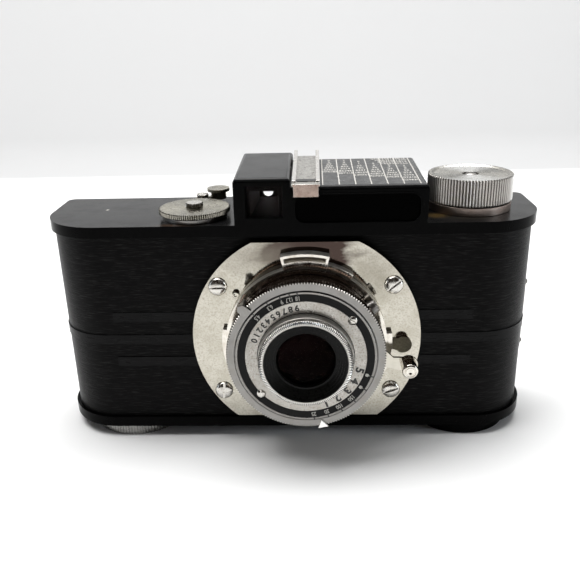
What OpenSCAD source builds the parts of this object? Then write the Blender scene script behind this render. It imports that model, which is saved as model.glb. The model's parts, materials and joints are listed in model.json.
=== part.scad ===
// Miniature roll film camera with a moulded body, a retracting lens and a slide calculator.
// X runs to the right as seen from the front, Y to the back and Z up. The origin is at the
// centre of the footprint, on the surface that the camera stands on.

/* [Body] */
// Overall width of the moulded body
body_w = 133.4; // [131:0.1:140]
// Height of the moulded body from its base to its top face
body_h = 59.6; // [59:0.1:64]
// Depth of the moulded body from front to back
body_d = 31; // [30.6:0.1:34]
// Radius of the two front corners, in plan
corner_r = 16; // [15:0.5:17]
// Radius of the two rear corners, in plan
rear_r = 2; // [1.5:0.25:3]
// Height of the plain lips round the top and the base
lip_h = 3; // [2.6:0.1:3.4]
// Depth by which the walls stand back behind the lips
wall_inset = 1; // [0.8:0.1:1.2]
// Thickness of the moulded walls
wall = 2.4; // [2:0.1:2.6]
// Depth at which the back cover meets the body
split_y = 22; // [21.5:0.1:22.5]
// Thickness of the back cover
cover_t = 2.2; // [1.8:0.1:2.4]
// Distance that the decorative bands stand proud of the walls
band_proud = 0.25; // [0.1:0.05:0.4]
// Height of each decorative band
band_h = 2.7; // [2:0.1:3.4]
// Distance from the middle band to the upper and lower ones
band_pitch = 6.7; // [5:0.1:8]
// Height of the middle band above the base
band_z = 27.2; // [24:0.1:30]
// Distance from the centre to the ends of the upper and lower bands
band_reach = 48.7; // [44:0.1:50]
// Height of the foot and of the winding knob below the base
foot_h = 3.2; // [2.8:0.1:4]
// Radius of the foot disc
foot_r = 13.9; // [12:0.1:14]

/* [Film chambers] */
// Distance of the winding axis from the left end of the body
wind_in = 19.7; // [19.4:0.1:20]
// Distance of the winding axis behind the front
wind_y = 14.4; // [14.2:0.1:14.8]
// Radius of the take-up chamber
take_r = 11; // [10.6:0.1:11.2]
// Distance of the rewind axis from the right end of the body
rewind_in = 18.1; // [17.8:0.1:18.4]
// Distance of the rewind axis behind the front
rewind_y = 15.6; // [15.4:0.1:15.8]
// Radius of the cartridge chamber
cartridge_r = 12.9; // [12.6:0.1:13]
// Distance of the film behind the front
film_y = 24.5; // [24.4:0.1:24.8]
// Width of the picture
frame_w = 36; // [30:0.5:36]
// Height of the picture
frame_h = 24; // [18:0.5:24]
// Half the width of the light chamber
light_half = 19.4; // [19.2:0.1:19.8]
// Thickness of the partitions beside the light chamber
partition = 2.2; // [2:0.1:2.4]
// Thickness of the film gate
gate_t = 1.6; // [1.2:0.1:1.8]
// Thickness of the pressure plate
pad_t = 1; // [0.8:0.1:1.2]

/* [Hump] */
// Height of the finder box above the top face, at its front
finder_h = 12.1; // [11.8:0.1:13]
// Left side of the finder box, measured from the centre of the body
finder_x0 = -14; // [-14.3:0.1:-13.7]
// Right side of the finder box
finder_x1 = 0.5; // [0.3:0.1:0.6]
// Height of the table above the top face, at its front
table_h = 10; // [9.8:0.1:10.6]
// Distance between the right side of the table and the rewind knob
table_gap = 2; // [1.4:0.1:2.4]
// Angle at which the tops of the finder box and the table rise to the back
hump_slope = 1.6; // [0:0.1:2]
// Radius of the hump's edges
hump_r = 1.2; // [0.8:0.1:1.4]
// Width of the finder window
window_w = 9.6; // [9.2:0.1:10]
// Height of the finder window
window_h = 8.4; // [8:0.1:8.6]
// Radius of the finder's eyepiece hole
eye_r = 2.2; // [1.8:0.1:2.4]
// Thickness of the printed table plate
table_t = 0.5; // [0.4:0.05:0.7]

/* [Lens position and plate] */
// Offset of the lens axis to the right of the body's centre
lens_x = 3.95; // [3.6:0.05:4.3]
// Height of the lens axis above the base
lens_z = 28.13; // [27.8:0.01:28.5]
// Radius of the front plate
plate_r = 30.7; // [30:0.1:31]
// Height of the plate's upper flat above the lens axis
plate_up = 27.4; // [26.5:0.1:27.8]
// Distance of the plate's lower flat below the lens axis
plate_down = 23.7; // [23:0.1:24.2]
// Thickness of the front plate
plate_t = 1.2; // [1:0.1:1.4]
// Height of the moulded boss under the plate, in front of the lips
boss_h = 0.4; // [0.2:0.1:0.6]
// Radius at which the plate's screws sit
plate_screw_pr = 27.75; // [27.4:0.05:28]
// Angle of the plate's screws above and below the horizontal
plate_screw_a = 33.8; // [32:0.1:36]
// Radius of the heads of the plate's screws
plate_screw_r = 2.5; // [2.2:0.1:2.7]

/* [Lens barrel] */
// Outer radius of the draw tube
tube_r = 17.07; // [17:0.01:17.1]
// Wall of the draw tube
tube_wall = 1.2; // [0.9:0.1:1.4]
// Length of the draw tube behind the front of the body, which is how far it pulls out
tube_back = 13; // [12:0.5:14]
// Wall of the sleeve that guides the draw tube
sleeve_wall = 1.35; // [1.2:0.05:1.5]
// Running clearance between turning or sliding metal parts, on the radius
run = 0.06; // [0.03:0.01:0.09]
// Radius of the focusing ring
focus_r = 21.4; // [21:0.1:22]
// Length of the focusing ring
focus_t = 2.7; // [2.3:0.1:2.8]
// Outer radius of the shutter case
case_r = 19.6; // [19.3:0.1:19.8]
// Outer radius of the speed ring
speed_r = 20.5; // [20.2:0.1:21]
// Length of the speed ring
speed_t = 2.95; // [2.6:0.05:3]
// Distance of the speed ring's face in front of the body
speed_z = 12.8; // [12.7:0.05:13]
// Outer radius of the black scale
scale_r = 18.1; // [18:0.05:18.15]
// Inner radius of the black scale
scale_in = 15.6; // [15.3:0.1:15.8]
// Radius of the front cell
cell_r = 12.2; // [11.9:0.1:12.6]
// Radius of the knurled rim of the front cell
rim_r = 11.9; // [11.6:0.1:12.1]
// Distance of the front cell's rim in front of the body
rim_z = 16.9; // [16.6:0.1:17.4]
// Free radius of the front lens
glass_r = 7.6; // [7.2:0.1:7.8]
// Distance of the release button's axis from the lens axis
button_pr = 27.2; // [27:0.05:27.4]
// Radius of the release button
button_r = 2.05; // [1.7:0.05:2.2]

/* [Knobs] */
// Radius of the rewind knob
rewind_r = 11.3; // [11:0.1:11.8]
// Height of the rewind knob's top above the body
rewind_top = 9.5; // [8.5:0.1:10.5]
// Height of the smooth collar under the rewind knob
collar_h = 2.2; // [1.8:0.1:2.6]
// Distance that the rewind knob lifts
rewind_lift = 5; // [3:0.5:5]
// Radius of the winding knob
wind_r = 13.9; // [12:0.1:14]
// Radius of the counter dial
dial_r = 9.54; // [9.2:0.02:9.8]
// Thickness of the counter dial
dial_t = 1.3; // [1:0.1:1.6]
// Depth of the knurling on knobs and rings
knurl_d = 0.3; // [0.15:0.05:0.4]

/* [Calculator slide] */
// Width of the slide
slide_w = 7.1; // [6:0.1:7.2]
// Thickness of the slide's sheet
slide_t = 0.6; // [0.4:0.1:0.7]
// Height of the slide's side rails at the front
rail_front = 1.2; // [0.8:0.1:1.6]
// Height of the slide's side rails at the back
rail_back = 2.5; // [1.6:0.1:2.8]
// Length of the slide's lip over the front of the hump
lip_drop = 2.7; // [2:0.1:3]

/* [Hidden] */
$fn = 96;

// Small gaps: fit is between fixed pieces, seat is where one piece rests on another
fit = 0.05;
seat = 0.03;
// A cut runs this far past the face that it opens
past = 1;

// Heights and depths that several pieces share
wall_y = wall_inset + wall;
inner_top = body_h - lip_h;
side_x = body_w / 2 - wall_inset;
cover_back = body_d - 0.5;
cover_gap = 0.15;
wind_x = wind_in - body_w / 2;
rewind_x = body_w / 2 - rewind_in;
hump_back = body_d;
table_x1 = rewind_x - rewind_r - table_gap;

// Stations along the lens axis, measured forwards from the front of the body
plate_face = boss_h + plate_t;
sleeve_r = tube_r + run + sleeve_wall;
sleeve_front = plate_face + 0.15 + focus_t + 0.2;
sleeve_back = -12;
sleeve_collar_r = sleeve_r + 1.3;
focus_z = plate_face + 0.15;
case_back = sleeve_front + 0.3;
case_floor = 0.8;
case_shoulder = 9;
neck_r = scale_r;
neck_in = 16.4;
neck_front = 12.1;
aperture_z = case_shoulder + 0.06;
aperture_t = 0.68;
speed_back = speed_z - speed_t;
scale_front = speed_z + 0.15;
cell_front = 15.4;
shutter_z = case_back + case_floor + 0.4;
blade_t = 0.12;
blade_step = 0.22;
lever_z = 7.2;
lever_t = 0.8;
iris_z = 9.5;
pivot_pr = 13.5;
blade_a = 90;

// The release lever turns on a pin inside the case
release_pin_pr = 15.3;
release_pin_a = 74;
release_pin_r = 0.9;
button_a = 100;
button_len = 5;

// The pin that stops the focusing ring
stop_pin_pr = 22.7;
stop_pin_a = -54;
stop_pin_r = 0.88;
stop_pin_proud = 1.3;

// The front plate's four screws, as clock angles, and the way that each slot lies
plate_screw_clock = [-90 + plate_screw_a, 90 - plate_screw_a, 90 + plate_screw_a, -90 - plate_screw_a];
plate_screw_slot = [0, 40, 20, 85];
plate_screw_head = 1.3;
plate_screw_shank = 1.2;
plate_screw_len = 4;

// Winding, sprocket and counter
sprocket_x = lens_x - 33.45;
sprocket_r = 6.05;
sprocket_teeth = 8;
sprocket_y = film_y - sprocket_r;
sprocket_shaft_r = 1.5;
counter_x = lens_x - 29.65;
counter_y = 10;
counter_shaft_r = 1.5;
counter_teeth = 36;
counter_reach = norm([counter_x - sprocket_x, counter_y - sprocket_y]);
finger_dir = atan2(sprocket_y - counter_y, sprocket_x - counter_x);
counter_gear_r = 6.4;
counter_gear_z = inner_top - 1.9;
counter_gear_t = 1.2;
dial_z = body_h + 1.3;
catch_x = lens_x - 29.35;
catch_y = 23;
catch_head_x = lens_x - 24.95;
catch_head_y = 24.7;
catch_z = body_h + 1.1;
wind_shaft_r = 3;
spool_r = 5.5;
spool_flange_r = 9.5;
rewind_shaft_r = 2.2;
sleeve_t = 0.7;
knob_bottom = body_h + collar_h + 0.25;
bush_r = 4.2;
socket_r = 3.175;
socket_len = 5.4;
gate_x = light_half + partition / 2;
gate_z = frame_h / 2 + 5.5;
gate_screw_r = 0.7;

// Shapes of the finder and meter openings, shared by the body and what fills them
finder_wz = body_h + 6;
finder_wx = -6.25;
mask_t = 0.8;
pane_t = 1.2;
finder_recess = 0.2 + mask_t + pane_t + 0.2;
eye_z = body_h + 3.6;
eye_flange_r = eye_r + 1.1;
eye_ring_t = 0.8;
meter_x0 = 1.7;
meter_x1 = table_x1 - 2;
meter_cx = (meter_x0 + meter_x1) / 2;
meter_w = meter_x1 - meter_x0;
meter_z0 = body_h + 0.4;
meter_z1 = body_h + 7.8;
meter_cz = (meter_z0 + meter_z1) / 2;
meter_hh = meter_z1 - meter_z0;
meter_corner = 2.4;
meter_recess = 3.4;
meter_eye_z = body_h + 4.2;
meter_eye_r = 2.2;
rim_proud = 0.3;
table_x0 = 8.4;

// The seat of the cells, the face screws, the cable socket and the iris
cell_seat_r = 9.2;
face_screw_pr = 15.75;
face_screw_a = 49;
socket_a = 56;
socket_z = 7.4;
socket_out_r = 1.45;
iris_pin_pr = 13.6;
iris_step = 0.2;

// Pressure plate, latch and the grip of the focusing ring
pad_y = film_y + 0.25;
pad_w = 41;
pad_h = 33;
latch_t = 0.55;
latch_y0 = 16.5;
latch_y1 = 27;
latch_h = 21;
latch_roll_r = 0.35;
grip_r = 25.1;
grip_in = 23.2;
grip_half = 14.6;
wide_r = 22.8;

// The whole camera is centred over its footprint and raised by the height of its foot
slide_back = body_d + 0.3;
slide_hook = 1.6;
front_reach = rim_z;
back_reach = (slide_back + slide_t) * cos(hump_slope) + slide_hook * sin(hump_slope);
y_shift = (front_reach - back_reach) / 2;

module on_body() {
    translate([0, y_shift, foot_h]) children();
}

// Lens parts are drawn with their local Z forwards, X to the right and Y up
module on_lens() {
    on_body() translate([lens_x, 0, lens_z]) rotate([90, 0, 0]) children();
}

// Turns what is drawn at twelve o'clock to another clock angle
module at_clock(a) {
    rotate([0, 0, -a]) children();
}

module ring(r_in, r_out, z0, z1) {
    translate([0, 0, z0]) linear_extrude(z1 - z0) difference() {
        circle(r_out);
        circle(r_in);
    }
}

// A sector from clock angle a0 to a1, with its point on the axis
module wedge(r, a0, a1) {
    steps = ceil((a1 - a0) / 30);
    polygon(concat([[0, 0]], [for (i = [0:steps])
        let (a = a0 + (a1 - a0) * i / steps) 1.2 * r * [sin(a), cos(a)]]));
}

module arc_band(r_in, r_out, a0, a1) {
    intersection() {
        difference() {
            circle(r_out);
            circle(r_in);
        }
        wedge(r_out, a0, a1);
    }
}

module knurl_shape(r, depth, teeth) {
    polygon([for (i = [0:2 * teeth - 1])
        (i % 2 == 0 ? r : r - depth) * [cos(180 * i / teeth), sin(180 * i / teeth)]]);
}

module slotted_screw(head_r, head_h, shank_r, shank_len, slot_a) {
    difference() {
        cylinder(r = head_r, h = head_h);
        rotate([0, 0, slot_a]) translate([-head_r - past, -head_r * 0.14, head_h * 0.45])
            cube([2 * (head_r + past), head_r * 0.28, head_h]);
    }
    translate([0, 0, -shank_len]) cylinder(r = shank_r, h = shank_len);
}

module round_rect(w, h, r) {
    translate([-w / 2 + r, -h / 2]) square([w - 2 * r, h]);
    translate([-w / 2, -h / 2 + r]) square([w, h - 2 * r]);
    for (sx = [-1, 1], sy = [-1, 1])
        translate([sx * (w / 2 - r), sy * (h / 2 - r)]) circle(r);
}

// The outline of the body in plan: large front corners, small rear ones
module plan(inset, y_back, r_back) {
    half = body_w / 2 - inset;
    r_front = corner_r - inset;
    for (s = [-1, 1]) {
        translate([s * (half - r_front), inset + r_front]) intersection() {
            circle(r_front);
            translate([-r_front, -r_front]) square([2 * r_front, r_front + fit]);
        }
        translate([s * (half - r_back), y_back - r_back]) circle(r_back);
    }
    translate([r_front - half, inset]) square([2 * (half - r_front), y_back - inset]);
    translate([-half, inset + r_front]) square([2 * half, y_back - r_back - inset - r_front]);
    translate([r_back - half, inset + r_front]) square([2 * (half - r_back), y_back - inset - r_front]);
}

// One raised band round the walls, at height z and as far as reach
module band(z, reach) {
    intersection() {
        translate([0, 0, z - band_h / 2]) linear_extrude(band_h)
            plan(wall_inset - band_proud, cover_back + band_proud, rear_r);
        translate([-reach, -past, 0]) cube([2 * reach, body_d + 2 * past, body_h]);
    }
}

module bands() {
    band(band_z, body_w);
    for (s = [-1, 1]) band(band_z + s * band_pitch, band_reach);
}

// Draws on a plane that starts at height h over the front and rises to the back
module sloped(h) {
    translate([0, 0, body_h + h]) rotate([hump_slope, 0, 0]) children();
}

// A block with rounded upper edges, standing on the top face, whose top rises to the back
module hump_block(x0, x1, h) {
    centre_front = h + hump_r * tan(hump_slope) - hump_r / cos(hump_slope);
    centre_back = centre_front + (hump_back - 2 * hump_r) * tan(hump_slope);
    touch = hump_r * [-sin(hump_slope), cos(hump_slope)];
    intersection() {
        sloped(h) translate([0, hump_back + 2 * past, 0]) rotate([90, 0, 0])
            linear_extrude(hump_back + 4 * past) {
                translate([x0, -h - 2 * past]) square([x1 - x0, h - hump_r + 2 * past]);
                translate([x0 + hump_r, -h]) square([x1 - x0 - 2 * hump_r, h]);
                for (x = [x0 + hump_r, x1 - hump_r]) translate([x, -hump_r]) circle(hump_r);
            }
        translate([x0, 0, body_h]) rotate([90, 0, 90]) linear_extrude(x1 - x0) {
            polygon([
                [0, -past], [hump_back, -past], [hump_back, centre_back],
                [hump_back - hump_r, centre_back] + touch, [hump_r, centre_front] + touch,
                [0, centre_front]]);
            translate([hump_r, centre_front]) circle(hump_r);
            translate([hump_back - hump_r, centre_back]) circle(hump_r);
        }
    }
}

module finder_opening(w, h, y0, y1) {
    translate([finder_wx - w / 2, y0, finder_wz - h / 2]) cube([w, y1 - y0, h]);
}

module meter_shape(grow, y0, y1) {
    translate([meter_cx, y1, meter_cz]) rotate([90, 0, 0]) linear_extrude(y1 - y0)
        round_rect(meter_w + 2 * grow, meter_hh + 2 * grow, meter_corner + grow);
}

module hump() {
    hump_block(finder_x0, finder_x1, finder_h);
    hump_block(finder_x1 - 2 * hump_r, table_x1, table_h);
    meter_shape(rim_proud, -rim_proud, hump_r);
}

module chambers() {
    depth = split_y + past;
    translate([0, 0, lip_h]) linear_extrude(inner_top - lip_h) {
        translate([lens_x - light_half, wall_y]) square([2 * light_half, depth - wall_y]);
        translate([wind_x, wind_y]) circle(take_r);
        translate([wind_x - take_r, wind_y]) square([2 * take_r, depth - wind_y]);
        translate([rewind_x, rewind_y]) circle(cartridge_r);
        translate([rewind_x - cartridge_r, rewind_y]) square([2 * cartridge_r, depth - rewind_y]);
        translate([wind_x + take_r - past, wall_y])
            square([lens_x - light_half - partition - wind_x - take_r + past, depth - wall_y]);
        translate([lens_x + light_half + partition, wall_y])
            square([rewind_x - cartridge_r - partition - lens_x - light_half - partition, depth - wall_y]);
    }
}

module body_shell() {
    color("#1b1b1e") on_body() difference() {
        union() {
            linear_extrude(lip_h) plan(0, body_d, rear_r);
            translate([0, 0, inner_top]) linear_extrude(lip_h) plan(0, body_d, rear_r);
            translate([0, 0, lip_h]) linear_extrude(inner_top - lip_h) intersection() {
                plan(wall_inset, body_d, rear_r);
                translate([-body_w, 0]) square([2 * body_w, split_y]);
            }
            intersection() {
                bands();
                translate([-body_w, -past, 0]) cube([2 * body_w, split_y + past, body_h]);
            }
            translate([lens_x, 0, lens_z]) rotate([90, 0, 0]) translate([0, 0, -wall_y])
                linear_extrude(wall_y + boss_h) intersection() {
                    circle(plate_r - 1);
                    translate([-plate_r, 1 - plate_down]) square([2 * plate_r, plate_down + plate_up - 2]);
                }
            hump();
        }
        chambers();
        // Lens sleeve and its collar
        translate([lens_x, 0, lens_z]) rotate([90, 0, 0]) {
            translate([0, 0, -wall_y - past]) cylinder(r = sleeve_r + fit, h = wall_y + 2 * past + boss_h);
            translate([0, 0, boss_h - 1.4]) cylinder(r = sleeve_collar_r + fit, h = 1.4 + past);
            for (a = plate_screw_clock) at_clock(a) translate([0, plate_screw_pr, boss_h - plate_screw_len])
                cylinder(r = plate_screw_shank + fit, h = plate_screw_len + past, $fn = 32);
        }
        // Finder, meter and table
        finder_opening(window_w, window_h, -past, finder_recess);
        translate([finder_wx - window_w / 2 + 1, finder_recess - past, body_h + 1.2])
            cube([window_w - 2, body_d - 2 - finder_recess + past, window_h - 1.2]);
        translate([finder_wx, body_d + past, eye_z]) rotate([90, 0, 0])
            cylinder(r = eye_flange_r, h = 3 + past);
        meter_shape(0, -past, meter_recess);
        translate([meter_cx, body_d + past, meter_eye_z]) rotate([90, 0, 0])
            cylinder(r = meter_eye_r, h = body_d + past - meter_recess + past);
        translate([meter_cx, body_d + past, meter_eye_z]) rotate([90, 0, 0])
            cylinder(r = eye_flange_r, h = 3 + past);
        sloped(table_h) translate([table_x0, 0.8, -table_t])
            cube([table_x1 - 0.8 - table_x0, body_d - 1.6, table_t + past]);
        // Shafts, bushes and pivots
        translate([wind_x, wind_y, -past]) cylinder(r = wind_shaft_r + run, h = lip_h + 2 * past);
        translate([rewind_x, rewind_y, inner_top - past]) cylinder(r = bush_r + fit, h = lip_h + 2 * past);
        translate([counter_x, counter_y, inner_top - past])
            cylinder(r = counter_shaft_r + 1 + fit, h = lip_h + 2 * past);
        for (z = [inner_top - past, lip_h - 1.8]) translate([sprocket_x, sprocket_y, z])
            cylinder(r = sprocket_shaft_r + run, h = 1.8 + past);
        translate([catch_x, catch_y, body_h - 2]) cylinder(r = 0.8 + fit, h = 2 + past, $fn = 32);
        translate([rewind_x, wind_y, -past]) cylinder(r = bush_r + fit, h = lip_h - 0.5 + past);
        // Gate screws in the partitions
        for (sx = [-1, 1], sz = [-1, 1])
            translate([lens_x + sx * gate_x, split_y + past, lens_z + sz * gate_z]) rotate([90, 0, 0])
                cylinder(r = gate_screw_r + fit, h = 4 + past, $fn = 32);
    }
}

module front_plate() {
    color("#d9d6cf") on_lens() difference() {
        translate([0, 0, boss_h]) linear_extrude(plate_t) intersection() {
            circle(plate_r);
            translate([-plate_r, -plate_down]) square([2 * plate_r, plate_up + plate_down]);
        }
        translate([0, 0, boss_h - past]) cylinder(r = sleeve_r + fit, h = plate_t + 2 * past);
        for (a = plate_screw_clock) at_clock(a) translate([0, plate_screw_pr, boss_h - past])
            cylinder(r = plate_screw_shank + fit, h = plate_t + 2 * past, $fn = 32);
        at_clock(stop_pin_a) translate([0, stop_pin_pr, boss_h - past])
            cylinder(r = stop_pin_r + fit, h = plate_t + 2 * past, $fn = 32);
    }
}

module plate_screws() {
    color("#c9c7c2") on_lens() for (i = [0:3]) at_clock(plate_screw_clock[i])
        translate([0, plate_screw_pr, plate_face])
            slotted_screw(plate_screw_r, plate_screw_head, plate_screw_shank,
                plate_t + plate_screw_len - 0.4, plate_screw_slot[i] + plate_screw_clock[i], $fn = 48);
}

module lens_sleeve() {
    color("#b9b7b2") on_lens() difference() {
        union() {
            translate([0, 0, sleeve_back]) cylinder(r = sleeve_r, h = sleeve_front - sleeve_back);
            translate([0, 0, boss_h - 1.4]) cylinder(r = sleeve_collar_r, h = 1.4 - seat);
        }
        translate([0, 0, sleeve_back - past])
            cylinder(r = tube_r + run, h = sleeve_front - sleeve_back + 2 * past);
    }
}

module stop_pin() {
    color("#d5d3ce") on_lens() at_clock(stop_pin_a) translate([0, stop_pin_pr, boss_h + seat])
        cylinder(r = stop_pin_r, h = plate_t + stop_pin_proud, $fn = 32);
}

module film_gate() {
    color("#26262a") on_body() difference() {
        union() {
            translate([lens_x - light_half - partition, split_y, lip_h + 2])
                cube([2 * (light_half + partition), gate_t, inner_top - lip_h - 4]);
            for (s = [-1, 1]) translate([lens_x - light_half - partition, split_y, lens_z + s * 14.3 - 0.8])
                cube([2 * (light_half + partition), film_y - split_y, 1.6]);
        }
        translate([lens_x - frame_w / 2, split_y - past, lens_z - frame_h / 2])
            cube([frame_w, film_y - split_y + 2 * past, frame_h]);
        for (sx = [-1, 1], sz = [-1, 1])
            translate([lens_x + sx * gate_x, film_y + past, lens_z + sz * gate_z]) rotate([90, 0, 0])
                cylinder(r = gate_screw_r + fit, h = film_y - split_y + 2 * past, $fn = 32);
    }
}

module gate_screws() {
    color("#a8a6a0") on_body() for (sx = [-1, 1], sz = [-1, 1])
        translate([lens_x + sx * gate_x, split_y + gate_t, lens_z + sz * gate_z])
            rotate([-90, 0, 0]) slotted_screw(1.05, 0.6, gate_screw_r, 4.6, 45 * sx, $fn = 32);
}

module finder_mask() {
    color("#2a2a2e") on_body() difference() {
        finder_opening(window_w - 2 * fit, window_h - 2 * fit, 0.2, 0.2 + mask_t);
        finder_opening(window_w - 2.4, window_h - 3.4, -past, mask_t + past);
    }
}

module finder_front_lens() {
    color("#a9b4ba") on_body()
        finder_opening(window_w - 2 * fit, window_h - 2 * fit, 0.2 + mask_t + fit, 0.2 + mask_t + pane_t);
}

module eyepiece_ring(x, z, hole_r) {
    translate([x, body_d - 3, z]) rotate([-90, 0, 0]) difference() {
        union() {
            cylinder(r = eye_flange_r - fit, h = 3 + fit);
            translate([0, 0, 3]) cylinder(r = eye_flange_r + 0.6, h = eye_ring_t);
        }
        translate([0, 0, -past]) cylinder(r = hole_r, h = 6);
        translate([0, 0, 1.2]) cylinder(r = hole_r + 0.5, h = 6);
    }
}

module finder_eyepiece() {
    color("#3a3a3e") on_body() eyepiece_ring(finder_wx, eye_z, eye_r);
}

module finder_eye_lens() {
    color("#bcc8cc") on_body() translate([finder_wx, body_d - 3 + 1.2, eye_z]) rotate([-90, 0, 0])
        cylinder(r = eye_r + 0.5 - fit, h = 1.4);
}

module meter_window() {
    color("#101014") on_body() meter_shape(-fit, 0.6, 1.6);
}

// The light wedge is a strip in steps, each darker than the last
module meter_wedge() {
    steps = 6;
    color("#3c3a30") on_body() for (i = [0:steps - 1])
        translate([meter_x0 + meter_corner + i * (meter_w - 2 * meter_corner) / steps, 1.65, meter_z0 + 1.2])
            cube([(meter_w - 2 * meter_corner) / steps + fit, 0.5 + 0.15 * i, meter_hh - 2.4]);
}

module meter_eyepiece() {
    color("#3a3a3e") on_body() eyepiece_ring(meter_cx, meter_eye_z, meter_eye_r);
}

module exposure_table() {
    color("#4a4a4d") on_body() sloped(table_h) translate([table_x0 + fit, 0.8 + fit, -table_t])
        cube([table_x1 - 0.8 - table_x0 - 2 * fit, body_d - 1.6 - 2 * fit, table_t]);
}

module foot_disc() {
    color("#141416") on_body() translate([rewind_x, wind_y, -foot_h]) difference() {
        cylinder(r = foot_r, h = foot_h);
        translate([0, 0, -past]) cylinder(r = bush_r + fit, h = foot_h + 2 * past);
    }
}

module tripod_bush() {
    color("#b5a06a") on_body() translate([rewind_x, wind_y, -foot_h + 0.2]) difference() {
        cylinder(r = bush_r, h = socket_len);
        translate([0, 0, -past]) cylinder(r = socket_r, h = socket_len - 0.4 + past);
    }
}

module rewind_collar() {
    color("#c4b9ae") on_body() translate([rewind_x, rewind_y, 0]) difference() {
        union() {
            translate([0, 0, body_h]) cylinder(r = rewind_r - 0.2, h = collar_h);
            translate([0, 0, inner_top - 0.8]) cylinder(r = bush_r, h = lip_h + 0.8 + seat);
        }
        translate([0, 0, inner_top - 0.8 - past])
            cylinder(r = rewind_shaft_r + run + sleeve_t + run, h = lip_h + collar_h + 0.8 + 2 * past);
    }
}

module counter_bush() {
    color("#8f8a80") on_body() translate([counter_x, counter_y, 0]) difference() {
        union() {
            translate([0, 0, inner_top]) cylinder(r = counter_shaft_r + 1, h = lip_h);
            translate([0, 0, body_h]) cylinder(r = dial_r - 0.9, h = dial_z - body_h - 0.25);
        }
        translate([0, 0, inner_top - past]) cylinder(r = counter_shaft_r + run, h = lip_h + 3 * past);
    }
}

module catch_screw() {
    color("#b0aea8") on_body() translate([catch_x, catch_y, catch_z + 0.95])
        slotted_screw(1.7, 0.9, 0.8, catch_z + 0.95 - body_h + 1.8, 30, $fn = 32);
}

module back_cover() {
    color("#1b1b1e") on_body() {
        difference() {
            union() {
                translate([0, 0, lip_h + cover_gap]) linear_extrude(inner_top - lip_h - 2 * cover_gap)
                    plan(wall_inset, cover_back, rear_r);
                intersection() {
                    bands();
                    translate([-body_w, 0, 0]) cube([2 * body_w, 2 * body_d, body_h]);
                }
            }
            translate([-body_w, -past, -past])
                cube([2 * body_w, split_y + cover_gap + past, body_h + 2 * past]);
            translate([0, 0, lip_h + cover_gap - past]) linear_extrude(inner_top)
                plan(wall_inset + cover_t, cover_back - cover_t, rear_r);
        }
        // Strips that close the tray above and below, and keep the light out
        for (z = [lip_h + cover_gap, inner_top - cover_gap - 1.4])
            translate([-body_w / 2 + wall_inset + cover_t, cover_back - cover_t - 2.2, z])
                cube([body_w - 2 * wall_inset - 2 * cover_t, 2.2 + fit, 1.4]);
    }
}

// Two leaf springs behind the pressure plate, each bowed in three flats and riveted to the cover
module pressure_springs() {
    y_back = cover_back - cover_t;
    y_tip = pad_y + pad_t + 0.45;
    leaf = 0.25;
    color("#9a958c") on_body() for (s = [-1, 1]) translate([lens_x, 0, lens_z + s * 9 - 2])
        linear_extrude(4) {
            translate([-4, y_back - leaf]) square([8, leaf]);
            for (m = [0, 1]) mirror([m, 0]) polygon([
                [4, y_back - leaf], [4, y_back], [13, y_tip + leaf], [17, y_tip + leaf],
                [17, y_tip], [12.6, y_tip]]);
            translate([-1, y_back - leaf - 0.5]) square([2, 0.5]);
        }
}

module pressure_plate() {
    color("#26262a") on_body() translate([lens_x - pad_w / 2, pad_y, lens_z - pad_h / 2])
        cube([pad_w, pad_t, pad_h]);
}

// A sprung strip on the right end that holds the back cover shut; it turns on its rolled edge
module back_latch() {
    color("#3a3936") on_body() translate([side_x + 0.35, 0, band_z - latch_h / 2]) {
        translate([0, latch_y0, 0]) cube([latch_t, latch_y1 - latch_y0, latch_h]);
        translate([latch_t / 2, latch_y0, 0]) cylinder(r = latch_roll_r, h = latch_h, $fn = 32);
        for (z = [1.2, latch_h - 1.2]) translate([latch_t, latch_y0 + 1.5, z]) rotate([-90, 0, 0])
            intersection() {
                cylinder(r = 1, h = 7.5, $fn = 32);
                translate([-fit, -2, 0]) cube([2, 4, 8]);
            }
    }
}

// Focusing ring: a flange with a grip bar, a wider arc beside it and a lug on each side
module focus_ring() {
    bar_h = focus_t + 0.4;
    color("#cbc8c1") on_lens() translate([0, 0, focus_z]) difference() {
        union() {
            linear_extrude(focus_t) {
                circle(focus_r);
                arc_band(focus_r - 1, wide_r, 0, 33);
            }
            linear_extrude(bar_h) arc_band(focus_r - 0.7, grip_r, -grip_half, grip_half);
            linear_extrude(focus_t * 0.7) {
                arc_band(focus_r - 1, 22.5, -116, -80);
                arc_band(focus_r - 1, 22.9, 84, 122);
            }
        }
        translate([0, 0, -past]) cylinder(r = sleeve_r + run, h = bar_h + 2 * past);
        translate([0, 0, 1]) linear_extrude(bar_h)
            arc_band(grip_in, grip_r - 0.7, -grip_half + 1.6, grip_half - 1.6);
    }
}

module draw_tube() {
    color("#c6c4bf") on_lens() ring(tube_r - tube_wall, tube_r, -tube_back, case_back);
}

module release_slot() {
    linear_extrude(lever_t + 0.6) arc_band(neck_in, case_r + past, 66, 126);
}

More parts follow.
